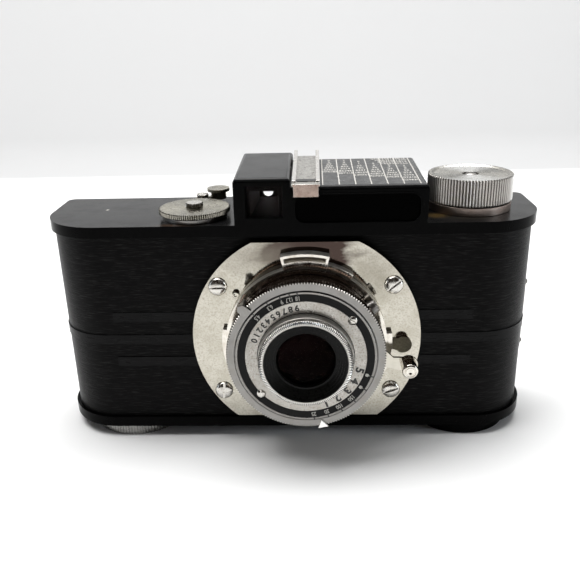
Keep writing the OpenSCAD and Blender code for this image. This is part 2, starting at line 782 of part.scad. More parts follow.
module shutter_case() {
    color("#55534f") on_lens() difference() {
        union() {
            ring(cell_seat_r + fit, case_r, case_back, case_back + case_floor);
            ring(neck_r - 0.4, case_r, case_back, case_shoulder);
            ring(neck_in, neck_r, case_shoulder - 1, neck_front);
            // Posts that take the two face screws
            for (a = [face_screw_a, face_screw_a + 180]) at_clock(a)
                translate([0, face_screw_pr, case_back])
                    cylinder(r = 1.5, h = neck_front - case_back, $fn = 48);
            at_clock(release_pin_a) translate([0, release_pin_pr, case_back])
                cylinder(r = release_pin_r, h = case_shoulder - case_back, $fn = 48);
            // Pins that the shutter blades turn on
            for (a = [blade_a, blade_a + 180]) at_clock(a) translate([0, pivot_pr, case_back])
                cylinder(r = 0.7, h = shutter_z + 2 * blade_step + 0.3 - case_back, $fn = 32);
        }
        translate([0, 0, lever_z - 0.3]) release_slot();
        at_clock(socket_a) translate([0, case_r - 3, socket_z]) rotate([-90, 0, 0])
            cylinder(r = socket_out_r + fit, h = 6, $fn = 48);
        for (a = [face_screw_a, face_screw_a + 180]) at_clock(a)
            translate([0, face_screw_pr, neck_front - 2.4]) cylinder(r = 0.6 + fit, h = 4, $fn = 32);
    }
    // Shelf that carries the iris, with a pin for each blade
    color("#55534f") on_lens() {
        difference() {
            ring(10.4, neck_in + fit, iris_z - 0.7, iris_z - 0.2);
            for (a = [face_screw_a, face_screw_a + 180]) at_clock(a)
                translate([0, face_screw_pr, 0]) cylinder(r = 1.5, h = iris_z, $fn = 48);
        }
        for (i = [0:4]) at_clock(72 * i) translate([0, iris_pin_pr, iris_z - 0.2 - fit])
            cylinder(r = 0.6, h = 5 * iris_step + 0.2, $fn = 32);
    }
}

module scale_ring() {
    color("#141416") on_lens() difference() {
        ring(scale_in, scale_r, neck_front, scale_front);
        for (a = [face_screw_a, face_screw_a + 180]) at_clock(a)
            translate([0, face_screw_pr, 0]) cylinder(r = 1.2 + fit, h = 20, $fn = 48);
    }
}

module shutter_face() {
    color("#cfccc6") on_lens() difference() {
        ring(cell_seat_r + fit, scale_in - fit, neck_front - 0.3, scale_front);
        for (a = [face_screw_a, face_screw_a + 180]) at_clock(a)
            translate([0, face_screw_pr, 0]) cylinder(r = 1.5 + fit, h = neck_front, $fn = 48);
        for (a = [face_screw_a, face_screw_a + 180]) at_clock(a)
            translate([0, face_screw_pr, 0]) cylinder(r = 1.2 + fit, h = 20, $fn = 48);
    }
}

module face_screws() {
    color("#d5d3ce") on_lens() for (a = [face_screw_a, face_screw_a + 180]) at_clock(a)
        translate([0, face_screw_pr, neck_front + seat])
            slotted_screw(1.2, scale_front - neck_front + 0.35, 0.6, 2.2,
                a == face_screw_a ? 25 : 60, $fn = 32);
}

module front_cell() {
    cone_top = rim_r - 1.15;
    color("#c9c7c1") on_lens() difference() {
        union() {
            translate([0, 0, iris_z + 5 * iris_step + 0.2])
                cylinder(r = cell_seat_r, h = cell_front - iris_z - 5 * iris_step - 0.2);
            translate([0, 0, scale_front + seat]) cylinder(r = cell_r, h = cell_front - scale_front - seat);
            translate([0, 0, cell_front]) linear_extrude(rim_z - cell_front) knurl_shape(rim_r, 0.2, 180);
        }
        translate([0, 0, 5]) cylinder(r = glass_r, h = 20);
        translate([0, 0, rim_z - 2.2]) cylinder(r1 = glass_r + 0.35, r2 = cone_top, h = 2.2 + 0.001);
    }
}

// A lens with a domed front: a short cylinder cut by a sphere
module domed_glass(r, z_back, z_edge, bulge) {
    ball_r = (r * r + bulge * bulge) / (2 * bulge);
    translate([0, 0, z_back]) cylinder(r = r, h = z_edge - z_back);
    intersection() {
        translate([0, 0, z_edge - fit]) cylinder(r = r, h = bulge + 1);
        translate([0, 0, z_edge + bulge - ball_r]) sphere(ball_r);
    }
}

module front_lens() {
    color("#3b3f52") on_lens() domed_glass(glass_r - fit, 12.6, 13.6, 0.9);
}

module middle_lens() {
    color("#4a5060") on_lens() translate([0, 0, 10.9]) cylinder(r = glass_r - fit, h = 1.2);
}

module rear_cell() {
    color("#2c2b2a") on_lens() difference() {
        union() {
            translate([0, 0, case_back - 4]) cylinder(r = cell_seat_r - 0.1, h = 4 + case_floor);
            translate([0, 0, case_back - 1.4]) cylinder(r = cell_seat_r + 1.2, h = 1.4 - seat);
        }
        translate([0, 0, case_back - 5]) cylinder(r = 7, h = 10);
    }
}

module rear_lens() {
    color("#4a5060") on_lens() translate([0, 0, case_back - 3]) cylinder(r = 7 - fit, h = 3);
}

module cable_socket() {
    color("#b9b6af") on_lens() at_clock(socket_a) translate([0, case_r - 2.4, socket_z]) rotate([-90, 0, 0])
        difference() {
            union() {
                cylinder(r = socket_out_r, h = 4.6, $fn = 48);
                translate([0, 0, 2.5]) cylinder(r = socket_out_r + 0.35, h = 2.1, $fn = 48);
            }
            translate([0, 0, 1]) cylinder(r = 0.9, h = 5, $fn = 48);
        }
}

module speed_ring() {
    color("#cdcac4") on_lens() difference() {
        translate([0, 0, speed_back]) linear_extrude(speed_t) knurl_shape(speed_r, knurl_d, 176);
        translate([0, 0, speed_back - past]) cylinder(r = neck_r + run, h = speed_t + 2 * past);
    }
}

module speed_pointer() {
    tip_r = 18.5;
    half = 1.35;
    color("#e6e4de") on_lens() at_clock(168) translate([0, 0, speed_z + seat]) linear_extrude(0.6)
        polygon([[0, tip_r], [half, speed_r + 0.2], [-half, speed_r + 0.2]]);
}

// The aperture ring carries an arm that climbs past the speed ring and ends in a pointer
module aperture_lever() {
    arm_a = -49;
    pointer_z = speed_z + 0.2;
    color("#c6c2ba") on_lens() {
        ring(neck_r + run, case_r - 0.1, aperture_z, aperture_z + aperture_t);
        at_clock(arm_a) {
            translate([-1.1, case_r - 0.6, aperture_z]) cube([2.2, speed_r + 0.9 - case_r + 0.6, aperture_t]);
            translate([-1.1, speed_r + 0.25, aperture_z]) cube([2.2, 0.65, pointer_z + 0.5 - aperture_z]);
            translate([0, 0, pointer_z]) linear_extrude(0.5)
                polygon([[-1.3, 18.9], [1.3, 18.9], [1.1, speed_r + 0.9], [0, speed_r + 1.6],
                    [-1.1, speed_r + 0.9]]);
        }
    }
}

// Each iris blade is an arc that turns on its pin; the five lie one above another
module iris_blade(i) {
    inner = glass_r + 0.9;
    outer = 12.4;
    eye = 1.25;
    color("#2b2b2e") on_lens() at_clock(72 * i) translate([0, 0, iris_z + i * iris_step])
        linear_extrude(blade_t) difference() {
            union() {
                arc_band(inner, outer, 4, 96);
                translate([0, iris_pin_pr]) circle(eye, $fn = 32);
                polygon([[0, iris_pin_pr + eye * 0.9], [1.3, inner + 0.4], [3.2, outer - 1.2],
                    [2.9, outer - 0.2]]);
            }
            translate([0, iris_pin_pr]) circle(0.6 + run, $fn = 32);
        }
}

module iris_blade_1() { iris_blade(0); }
module iris_blade_2() { iris_blade(1); }
module iris_blade_3() { iris_blade(2); }
module iris_blade_4() { iris_blade(3); }
module iris_blade_5() { iris_blade(4); }

// A flat lever from its pin inside the case, out through the slot and round to the button
module release_lever() {
    pin = release_pin_pr * [sin(release_pin_a), cos(release_pin_a)];
    end = button_pr * [sin(button_a), cos(button_a)];
    color("#cfccc5") on_lens() translate([0, 0, lever_z]) linear_extrude(lever_t) difference() {
        union() {
            translate(pin) circle(release_pin_r + 0.8, $fn = 48);
            translate(end) circle(button_r + 0.4, $fn = 48);
            polygon([
                pin + [-1.2, -0.9], end + [-6.6, -0.5], end + [-4.2, -1], end + [-1.6, -1.7],
                end + [-0.3, 2], end + [-4, 2.1], end + [-6.4, 4.4], pin + [1.6, 0.6]]);
        }
        translate(pin) circle(release_pin_r + run, $fn = 48);
    }
}

module release_button() {
    color("#d8d6d0") on_lens() at_clock(button_a) translate([0, button_pr, lever_z + lever_t + seat])
        cylinder(r = button_r, h = button_len - lever_t, $fn = 64);
}

// Half discs that meet over the lens, each on an arm to its pin
module shutter_blade(s) {
    color("#38383b") on_lens() at_clock(blade_a + (s > 0 ? 0 : 180))
        translate([0, 0, shutter_z + (s > 0 ? 0 : blade_step)]) linear_extrude(blade_t) difference() {
            union() {
                intersection() {
                    circle(glass_r + 0.7);
                    translate([-0.4, -20]) square([20, 40]);
                }
                translate([0, pivot_pr]) circle(1.5, $fn = 48);
                polygon([[-1.3, pivot_pr - 0.6], [-0.4, 6.5], [4.6, 6], [1.4, pivot_pr + 0.2]]);
            }
            translate([0, pivot_pr]) circle(0.7 + run, $fn = 32);
        }
}

module shutter_blade_1() { shutter_blade(1); }
module shutter_blade_2() { shutter_blade(-1); }

module rewind_sleeve() {
    color("#9c978e") on_body() translate([rewind_x, rewind_y, 0]) {
        ring(rewind_shaft_r + run, rewind_shaft_r + run + sleeve_t, inner_top - 2, body_h + collar_h);
    }
}

module rewind_knob() {
    color("#d3d1cb") on_body() translate([rewind_x, rewind_y, 0]) difference() {
        translate([0, 0, knob_bottom]) linear_extrude(body_h + rewind_top - knob_bottom)
            knurl_shape(rewind_r, knurl_d, 90);
        translate([0, 0, body_h + rewind_top - 0.35]) cylinder(r = rewind_r - 1.3, h = past);
        translate([0, 0, body_h + rewind_top - 1]) cylinder(r = 2.2, h = 2 * past, $fn = 48);
        translate([0, 0, knob_bottom - past])
            cylinder(r = rewind_shaft_r + fit, h = rewind_top - collar_h - 2.2 + past);
        translate([0, 0, knob_bottom]) cylinder(r = 0.8 + fit, h = rewind_top, $fn = 32);
    }
}

// The shaft under the knob ends in a fork that fits the cartridge
module rewind_fork() {
    fork_top = inner_top - 0.3 - rewind_lift;
    shaft_top = knob_bottom + rewind_top - collar_h - 2.3;
    color("#b7b3aa") on_body() translate([rewind_x, rewind_y, 0]) difference() {
        union() {
            translate([0, 0, fork_top - 1]) cylinder(r = rewind_shaft_r, h = shaft_top - fork_top + 1);
            translate([0, 0, fork_top - 4.5]) cylinder(r = 4, h = 3.7);
        }
        translate([-0.9, -5, fork_top - 5]) cube([1.8, 10, 2.8]);
        translate([0, 0, shaft_top - 3]) cylinder(r = 0.8 + fit, h = 5, $fn = 32);
    }
}

module rewind_screw() {
    color("#c2beb4") on_body() translate([rewind_x, rewind_y, body_h + rewind_top - 1 + seat])
        slotted_screw(1.6, 0.8, 0.8, 3.2, -35, $fn = 48);
}

module wind_knob() {
    color("#c2bfb8") on_body() translate([wind_x, wind_y, -foot_h]) difference() {
        linear_extrude(foot_h - 0.25) knurl_shape(wind_r, knurl_d, 100);
        translate([0, 0, -past]) cylinder(r = wind_r - 2.2, h = 0.4 + past);
        translate([0, 0, 1.2]) cylinder(r = wind_shaft_r - 0.6 + fit, h = foot_h);
    }
}

module takeup_spool() {
    bottom = 1.2 - foot_h + 0.05;
    spool_z0 = lip_h + 0.6;
    spool_z1 = inner_top - 0.8;
    color("#2b2a28") on_body() translate([wind_x, wind_y, 0]) difference() {
        union() {
            translate([0, 0, bottom]) cylinder(r = wind_shaft_r - 0.6, h = spool_z0 - bottom);
            translate([0, 0, 0.2]) cylinder(r = wind_shaft_r, h = spool_z0);
            translate([0, 0, spool_z0]) cylinder(r = spool_r, h = spool_z1 - spool_z0);
            translate([0, 0, spool_z0]) cylinder(r = spool_flange_r, h = 1.2);
            translate([0, 0, spool_z1 - 1.2]) cylinder(r = spool_flange_r, h = 1.2);
        }
        translate([-0.6, -spool_r - past, spool_z0 + 8])
            cube([1.2, 2 * (spool_r + past), spool_z1 - spool_z0 - 16]);
    }
}

// Two toothed rims on one shaft, with the finger that steps the counter at its top
module sprocket() {
    rim_t = 2.6;
    tooth_h = 1.2;
    color("#8f8c86") on_body() translate([sprocket_x, sprocket_y, 0]) {
        translate([0, 0, lip_h - 1.6]) cylinder(r = sprocket_shaft_r, h = inner_top - lip_h + 3.2);
        for (s = [-1, 1]) translate([0, 0, lens_z + s * 14.2 - rim_t / 2]) {
            cylinder(r = sprocket_r - 0.5, h = rim_t);
            for (i = [0:sprocket_teeth - 1]) rotate([0, 0, 360 * i / sprocket_teeth])
                translate([sprocket_r - 1, -0.6, rim_t / 2 - 0.6]) cube([1 + tooth_h - 0.5, 1.2, 1.2]);
        }
        translate([0, 0, lip_h + 2]) cylinder(r = 3, h = inner_top - lip_h - 6);
        translate([0, 0, counter_gear_z]) rotate([0, 0, 180]) translate([0, -0.35, 0])
            cube([counter_reach - counter_gear_r - 0.15, 0.7, counter_gear_t]);
    }
}

// A wheel that the finger moves by one tooth for each picture
module counter_gear() {
    gap_r = counter_gear_r - 0.9;
    color("#a79455") on_body() translate([counter_x, counter_y, counter_gear_z]) {
        difference() {
            cylinder(r = counter_gear_r, h = counter_gear_t);
            for (i = [0:counter_teeth - 1]) rotate([0, 0, finger_dir + 360 * i / counter_teeth])
                translate([gap_r, -0.28, -past]) cube([2, 0.56, counter_gear_t + 2 * past]);
        }
        cylinder(r = counter_shaft_r, h = dial_z + dial_t + 0.85 - counter_gear_z);
    }
}

module counter_dial() {
    color("#cbc9c3") on_body() translate([counter_x, counter_y, dial_z]) difference() {
        linear_extrude(dial_t) knurl_shape(dial_r, knurl_d, 96);
        translate([0, 0, -past]) cylinder(r = counter_shaft_r + fit, h = dial_t + 2 * past);
    }
}

module counter_nut() {
    color("#c8c6c0") on_body() translate([counter_x, counter_y, dial_z + dial_t + seat]) difference() {
        linear_extrude(1.2) knurl_shape(2.35, 0.18, 24);
        translate([0, 0, -past]) cylinder(r = counter_shaft_r + fit, h = 0.9 + past, $fn = 48);
    }
}

// The film catch: a short arm on a screw, with an oval thumb piece
module catch_lever() {
    arm = norm([catch_head_x - catch_x, catch_head_y - catch_y]);
    dir = atan2(catch_head_y - catch_y, catch_head_x - catch_x);
    color("#c3c0b9") on_body() translate([catch_x, catch_y, body_h + 0.08]) {
        difference() {
            cylinder(r = 1.9, h = catch_z - body_h + 0.8, $fn = 48);
            translate([0, 0, -past]) cylinder(r = 0.8 + run, h = 5, $fn = 32);
        }
        rotate([0, 0, dir]) translate([1.4, -1.1, catch_z - body_h]) cube([arm - 1.4, 2.2, 0.8]);
        rotate([0, 0, dir]) translate([arm, 0, catch_z - body_h]) {
            cylinder(r = 2.2, h = 2.4, $fn = 48);
            translate([0, 0, 2.2]) cylinder(r = 3.2, h = 0.9, $fn = 64);
        }
    }
}

// A folded sheet that straddles the hump and slides along it, between two rails that rise to the back
module calculator_slider() {
    lip_y = -rim_proud - 0.2 - slide_t;
    lip_in = 0.4;
    rail_w = 1;
    color("#d8d6d0") on_body() sloped(table_h + 0.1) translate([finder_x1 + 0.4, 0, 0]) {
        difference() {
            translate([0, lip_y, 0]) cube([slide_w, slide_back + slide_t - lip_y, slide_t]);
            translate([rail_w + 0.3, 1.2, -past]) cube([slide_w - 2 * rail_w - 0.6, 1.1, slide_t + 2 * past]);
        }
        translate([lip_in, lip_y, -lip_drop]) cube([slide_w - 2 * lip_in, slide_t, lip_drop + slide_t / 2]);
        translate([0, slide_back, -slide_hook]) cube([slide_w, slide_t, slide_hook + slide_t / 2]);
        for (x = [0, slide_w - rail_w]) translate([x, 0, 0]) rotate([90, 0, 90]) linear_extrude(rail_w)
            polygon([[0.4, slide_t / 2], [body_d, slide_t / 2], [body_d, rail_back], [0.4, rail_front]]);
    }
}

body_shell();
front_plate();
plate_screws();
lens_sleeve();
stop_pin();
film_gate();
gate_screws();
finder_mask();
finder_front_lens();
finder_eyepiece();
finder_eye_lens();
meter_window();
meter_wedge();
meter_eyepiece();
exposure_table();
foot_disc();
tripod_bush();
rewind_collar();
counter_bush();
catch_screw();
back_cover();
pressure_springs();
pressure_plate();
back_latch();
focus_ring();
draw_tube();
shutter_case();
scale_ring();
shutter_face();
face_screws();
front_cell();
front_lens();
middle_lens();
rear_cell();
rear_lens();
cable_socket();
speed_ring();
speed_pointer();
aperture_lever();
iris_blade_1();
iris_blade_2();
iris_blade_3();
iris_blade_4();
iris_blade_5();
release_lever();
release_button();
shutter_blade_1();
shutter_blade_2();
rewind_sleeve();
rewind_knob();
rewind_fork();
rewind_screw();
wind_knob();
takeup_spool();
sprocket();
counter_gear();
counter_dial();
counter_nut();
catch_lever();
calculator_slider();
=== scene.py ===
"""The finish of a miniature roll film camera: moulding, plated metal, glass and print. Each piece
is made where it sits, in the order in which the camera is put together. Lengths are in metres,
and the sizes of the pieces are written in millimetres and multiplied by MM."""
import json
import math

import bpy
from mathutils import Matrix, Vector


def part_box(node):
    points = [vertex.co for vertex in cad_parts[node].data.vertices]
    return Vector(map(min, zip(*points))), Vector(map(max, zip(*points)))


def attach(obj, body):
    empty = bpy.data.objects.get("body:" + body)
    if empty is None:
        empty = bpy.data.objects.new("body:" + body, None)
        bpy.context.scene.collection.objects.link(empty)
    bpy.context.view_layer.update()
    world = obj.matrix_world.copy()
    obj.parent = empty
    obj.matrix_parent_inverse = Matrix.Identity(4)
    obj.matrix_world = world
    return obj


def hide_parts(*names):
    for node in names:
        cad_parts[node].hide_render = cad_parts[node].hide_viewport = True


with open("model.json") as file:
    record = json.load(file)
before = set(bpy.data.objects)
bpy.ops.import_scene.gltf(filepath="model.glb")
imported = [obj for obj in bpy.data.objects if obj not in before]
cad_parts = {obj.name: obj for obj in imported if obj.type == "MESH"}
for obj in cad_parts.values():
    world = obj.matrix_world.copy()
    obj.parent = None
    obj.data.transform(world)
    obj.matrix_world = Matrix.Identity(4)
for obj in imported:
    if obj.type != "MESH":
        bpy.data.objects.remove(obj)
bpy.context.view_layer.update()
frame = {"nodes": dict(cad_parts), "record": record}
MM = 0.001

# Camera
# Stands in front of the lens and a little above it, as the photograph was taken, and looks
# slightly down on the top of the body.
VIEW_FROM = Vector((6.75, -180.64, 112.91)) * MM
VIEW_PITCH = math.radians(21.43)
VIEW_YAW = math.radians(-2.29)
VIEW_ROLL = math.radians(-1.48)
VIEW_SENSOR = 36
VIEW_FOCAL = 43.6
VIEW_NEAREST = 0.01
ahead = Vector((math.sin(VIEW_YAW) * math.cos(VIEW_PITCH),
                math.cos(VIEW_YAW) * math.cos(VIEW_PITCH), -math.sin(VIEW_PITCH)))
level_right = Vector((math.cos(VIEW_YAW), -math.sin(VIEW_YAW), 0))
level_up = level_right.cross(ahead)
view_right = math.cos(VIEW_ROLL) * level_right + math.sin(VIEW_ROLL) * level_up
view_up = math.cos(VIEW_ROLL) * level_up - math.sin(VIEW_ROLL) * level_right
bpy.ops.object.camera_add()
camera = bpy.context.object
camera.name = "view_camera"
camera.data.sensor_width = VIEW_SENSOR
camera.data.lens = VIEW_FOCAL
camera.data.clip_start = VIEW_NEAREST
camera.matrix_world = Matrix((view_right, view_up, -ahead)).transposed().to_4x4()
camera.location = VIEW_FROM
bpy.context.scene.camera = camera
bpy.context.scene.view_settings.view_transform = "Standard"


# Floor and backdrop
# One sheet of white card lies flat under the camera and rises behind it in a soft sweep. To the
# camera the flat part shows pure white, apart from the shadow, and the raised part a shade less.
def deselect_everything():
    if bpy.context.object and bpy.context.object.mode != "OBJECT":
        bpy.ops.object.mode_set(mode="OBJECT")
    bpy.ops.object.select_all(action="DESELECT")


def take(piece):
    """Makes a piece the only one selected."""
    deselect_everything()
    piece.select_set(True)
    bpy.context.view_layer.objects.active = piece


def wire(tree, kind, inputs, **settings):
    """Adds a shader node, with its inputs set to values or joined to other nodes' sockets."""
    node = tree.nodes.new(kind)
    for key, value in settings.items():
        setattr(node, key, value)
    for key, value in inputs.items():
        if isinstance(value, bpy.types.NodeSocket):
            tree.links.new(value, node.inputs[key])
        else:
            node.inputs[key].default_value = value
    return node


def new_material(name, colour, roughness, metallic=0.0, **sockets):
    """A plain surface; a socket's name is given with underscores for its spaces."""
    material = bpy.data.materials.new(name)
    material.use_nodes = True
    shader = material.node_tree.nodes["Principled BSDF"]
    shader.inputs["Base Color"].default_value = (*colour, 1)
    shader.inputs["Roughness"].default_value = roughness
    shader.inputs["Metallic"].default_value = metallic
    for key, value in sockets.items():
        shader.inputs[key.replace("_", " ")].default_value = value
    return material


def card_stock(name, colour, shown, *looks):
    """White card that adds to its own tone where the camera or a mirror looks at it."""
    material = new_material(name, colour, 0.9)
    tree = material.node_tree
    shader = tree.nodes["Principled BSDF"]
    rays = wire(tree, "ShaderNodeLightPath", {})
    seen = rays.outputs["Is Camera Ray"]
    for look in looks:
        seen = wire(tree, "ShaderNodeMath", {0: seen, 1: rays.outputs[look]},
                    operation="MAXIMUM").outputs[0]
    seen = wire(tree, "ShaderNodeMath", {0: seen, 1: shown}, operation="MULTIPLY")
    tree.links.new(seen.outputs[0], shader.inputs["Emission Strength"])
    shader.inputs["Emission Color"].default_value = (1, 1, 1, 1)
    return material


CARD_HALF = 1.6
CARD_TURN_Y = 0.345
CARD_WALL = 1.4
CARD_LEAN = 0.25
SWEEP_WIDTH = 0.03
SWEEP_STEPS = 12
RAISED_FROM = 0.004
deselect_everything()
bpy.ops.mesh.primitive_plane_add(size=2, location=(0, 0, 0))
card = bpy.context.object
card.name = "white_card"
card.scale = (CARD_HALF, 1, 1)
bpy.ops.object.transform_apply(scale=True)
for vertex in card.data.vertices:
    vertex.co.y = CARD_TURN_Y if vertex.co.y > 0 else -CARD_HALF
bpy.ops.object.mode_set(mode="EDIT")
bpy.ops.mesh.select_mode(type="EDGE")
bpy.ops.mesh.select_all(action="DESELECT")
bpy.ops.object.mode_set(mode="OBJECT")
for edge in card.data.edges:
    edge.select = all(card.data.vertices[v].co.y > 0 for v in edge.vertices)
bpy.ops.object.mode_set(mode="EDIT")
bpy.ops.mesh.extrude_edges_move(TRANSFORM_OT_translate={"value": (0, CARD_LEAN, CARD_WALL)})
bpy.ops.object.mode_set(mode="OBJECT")
sweep = card.modifiers.new("sweep", "BEVEL")
sweep.width = SWEEP_WIDTH
sweep.segments = SWEEP_STEPS
sweep.limit_method = "ANGLE"
bpy.ops.object.modifier_apply(modifier="sweep")
bpy.ops.object.shade_smooth()
card.data.materials.append(card_stock("card_flat", (0.90, 0.90, 0.895), 0.0))
card.data.materials.append(card_stock("card_raised", (0.3, 0.3, 0.3), 0.46, "Is Glossy Ray",
                                      "Is Transmission Ray"))
for face in card.data.polygons:
    face.material_index = 1 if face.center.z > RAISED_FROM else 0

# Light
# A room that is pale above and behind, and dark where the photographer stands, a broad soft panel
# above, and a narrow one at each side. To the camera itself the room shows plain white.
ROOM_STRENGTH = 0.75
ROOM_PALE_SIDE = (0.1, 0.75, 0.65)
ROOM_DARK = (0.045, 0.034, 0.028, 1)
ROOM_DARK_TO = 0.1
ROOM_PALE_FROM = 0.78
ROOM_SHOWN = 0.86
WHITE = (1, 1, 1, 1)
world = bpy.data.worlds.new("pale_room")
bpy.context.scene.world = world
world.use_nodes = True
room_tree = world.node_tree
room = room_tree.nodes["Background"]
room.inputs["Strength"].default_value = ROOM_STRENGTH
looking = wire(room_tree, "ShaderNodeTexCoord", {})
behind = wire(room_tree, "ShaderNodeVectorMath",
              {0: looking.outputs["Generated"], 1: ROOM_PALE_SIDE}, operation="DOT_PRODUCT")
shade = wire(room_tree, "ShaderNodeValToRGB", {"Fac": behind.outputs["Value"]})
dark, pale = shade.color_ramp.elements
dark.color, pale.color = ROOM_DARK, WHITE
dark.position, pale.position = ROOM_DARK_TO, ROOM_PALE_FROM
room_tree.links.new(shade.outputs["Color"], room.inputs["Color"])
white = wire(room_tree, "ShaderNodeBackground", {"Color": WHITE, "Strength": ROOM_SHOWN})
rays = wire(room_tree, "ShaderNodeLightPath", {})
shown = wire(room_tree, "ShaderNodeMixShader",
             {0: rays.outputs["Is Camera Ray"], 1: room.outputs[0], 2: white.outputs[0]})
room_tree.links.new(shown.outputs[0], room_tree.nodes["World Output"].inputs["Surface"])


def soft_panel(name, place, aim, width, depth, power, colour=(1, 1, 1)):
    bpy.ops.object.light_add(type="AREA", location=place)
    lamp = bpy.context.object
    lamp.name = name
    lamp.data.shape = "RECTANGLE"
    lamp.data.size = width
    lamp.data.size_y = depth
    lamp.data.energy = power
    lamp.data.color = colour
    lamp.rotation_euler = (Vector(aim) - Vector(place)).to_track_quat("-Z", "Y").to_euler()


soft_panel("panel_above", (-0.08, 0.11, 0.66), (0, -0.04, 0), 0.75, 0.42, 7.8)
soft_panel("panel_right", (0.55, -0.2, 0.13), (0, 0, 0.05), 0.1, 0.3, 0.8, (0.85, 0.93, 1))
soft_panel("panel_left", (-0.6, -0.2, 0.13), (0, 0, 0.05), 0.1, 0.3, 0.3, (0.8, 0.9, 1))

# Moulded body
# Black phenolic moulding in one piece with the hump, its edges a little rounded by the mould. The
# lips and the hump are polished, their tops lighter and glossier still as painted light, and the
# walls have a fine grain between three smooth bands.
body_of = {node: body for body, nodes in frame["record"]["behaviour"]["bodies"].items()
           for node in nodes}
SHARP = 32


def settle(piece, node, materials, sharp=SHARP):
    """Shades a piece, gives it its materials, and puts it on a node's body."""
    take(piece)
    bpy.ops.object.shade_smooth_by_angle(angle=math.radians(sharp))
    even = piece.modifiers.new("even", "WEIGHTED_NORMAL")
    even.keep_sharp = True
    bpy.ops.object.modifier_apply(modifier="even")
    for material in materials:
        piece.data.materials.append(material)
    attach(piece, body_of[node])
    return piece


def fitted(piece, node, materials, sharp=SHARP):
    """Settles a piece that takes a node's place."""
    settle(piece, node, materials, sharp)
    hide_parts(node)
    return piece


def break_edges(piece, edge, sharp=SHARP, segments=3):
    broken = piece.modifiers.new("broken_edge", "BEVEL")
    broken.width = edge * MM
    broken.segments = segments
    broken.limit_method = "ANGLE"
    broken.angle_limit = math.radians(sharp)
    bpy.ops.object.modifier_apply(modifier="broken_edge")


MERGE = 0.002
LEVEL = math.radians(0.6)


def softened(node, name, edge, *materials, segments=3):
    """The node's own shape with its faces joined and its edges broken by a small radius."""
    piece = bpy.data.objects.new(name, frame["nodes"][node].data.copy())
    bpy.context.scene.collection.objects.link(piece)
    piece.data.materials.clear()
    take(piece)
    bpy.ops.object.mode_set(mode="EDIT")
    bpy.ops.mesh.select_all(action="SELECT")
    bpy.ops.mesh.customdata_custom_splitnormals_clear()
    bpy.ops.mesh.remove_doubles(threshold=MERGE * MM)
    bpy.ops.mesh.dissolve_limited(angle_limit=LEVEL, delimit={"NORMAL"})
    bpy.ops.object.mode_set(mode="OBJECT")
    break_edges(piece, edge, segments=segments)
    return fitted(piece, node, materials)


def effect_tree(name, **inputs):
    """A surface effect that several materials use: a vector and numbers in, one value out."""
    tree = bpy.data.node_groups.new(name, "ShaderNodeTree")
    tree.interface.new_socket(name="Vector", in_out="INPUT", socket_type="NodeSocketVector")
    for label, value in inputs.items():
        socket = tree.interface.new_socket(name=label, in_out="INPUT",
                                           socket_type="NodeSocketFloat")
        socket.default_value = value
    tree.interface.new_socket(name="Value", in_out="OUTPUT", socket_type="NodeSocketFloat")
    takes = tree.nodes.new("NodeGroupInput").outputs
    return tree, takes, tree.nodes.new("NodeGroupOutput").inputs["Value"]


mottle, takes, gives = effect_tree("mottle", Low=0.0, High=1.0)
cloud = wire(mottle, "ShaderNodeTexNoise",
             {"Vector": takes["Vector"], "Scale": 1.0, "Detail": 4.0, "Roughness": 0.6})
spread = wire(mottle, "ShaderNodeMapRange",
              {"Value": cloud.outputs["Fac"], "From Min": 0.34, "From Max": 0.66,
               "To Min": takes["Low"], "To Max": takes["High"]})
mottle.links.new(spread.outputs["Result"], gives)

specks, takes, gives = effect_tree("specks", Size=0.2, Amount=0.1)
cells = wire(specks, "ShaderNodeTexVoronoi", {"Vector": takes["Vector"], "Scale": 1.0})
lot = wire(specks, "ShaderNodeSeparateColor", {0: cells.outputs["Color"]})
few = wire(specks, "ShaderNodeMath", {0: lot.outputs["Red"], 1: takes["Amount"]},
           operation="LESS_THAN")
near = wire(specks, "ShaderNodeMapRange",
            {"Value": cells.outputs["Distance"], "From Min": takes["Size"], "From Max": 0.0})
both = wire(specks, "ShaderNodeMath", {0: few.outputs[0], 1: near.outputs[0]},
            operation="MULTIPLY")
specks.links.new(both.outputs[0], gives)

stain, takes, gives = effect_tree("stain", Strength=1.0)
ragged = wire(stain, "ShaderNodeTexNoise",
              {"Vector": takes["Vector"], "Scale": 2.5, "Detail": 3.0})
far_out = wire(stain, "ShaderNodeVectorMath", {0: takes["Vector"]}, operation="LENGTH")
border = wire(stain, "ShaderNodeMath",
              {0: ragged.outputs["Fac"], 1: 0.9, 2: far_out.outputs["Value"]},
              operation="MULTIPLY_ADD")
inner = wire(stain, "ShaderNodeMapRange",
             {"Value": border.outputs[0], "From Min": 1.45, "From Max": 0.55,
              "To Max": takes["Strength"]}, interpolation_type="SMOOTHSTEP")
stain.links.new(inner.outputs["Result"], gives)


def pattern(material, tree, size, centre=(0, 0, 0), turn=(0, 0, 0), **values):
    """Lays an effect on a material in real millimetres, centred and turned on the piece. The size
    is one number, or one for each direction."""
    sizes = size if isinstance(size, tuple) else (size,) * 3
    nodes = material.node_tree
    spot = wire(nodes, "ShaderNodeTexCoord", {})
    laid = wire(nodes, "ShaderNodeMapping",
                {"Vector": spot.outputs["Object"], "Location": Vector(centre) * MM,
                 "Rotation": [math.radians(a) for a in turn], "Scale": Vector(sizes) * MM},
                vector_type="TEXTURE")
    effect = nodes.nodes.new("ShaderNodeGroup")
    effect.node_tree = tree
    nodes.links.new(laid.outputs[0], effect.inputs["Vector"])
    for key, value in values.items():
        effect.inputs[key].default_value = value
    return effect.outputs["Value"]


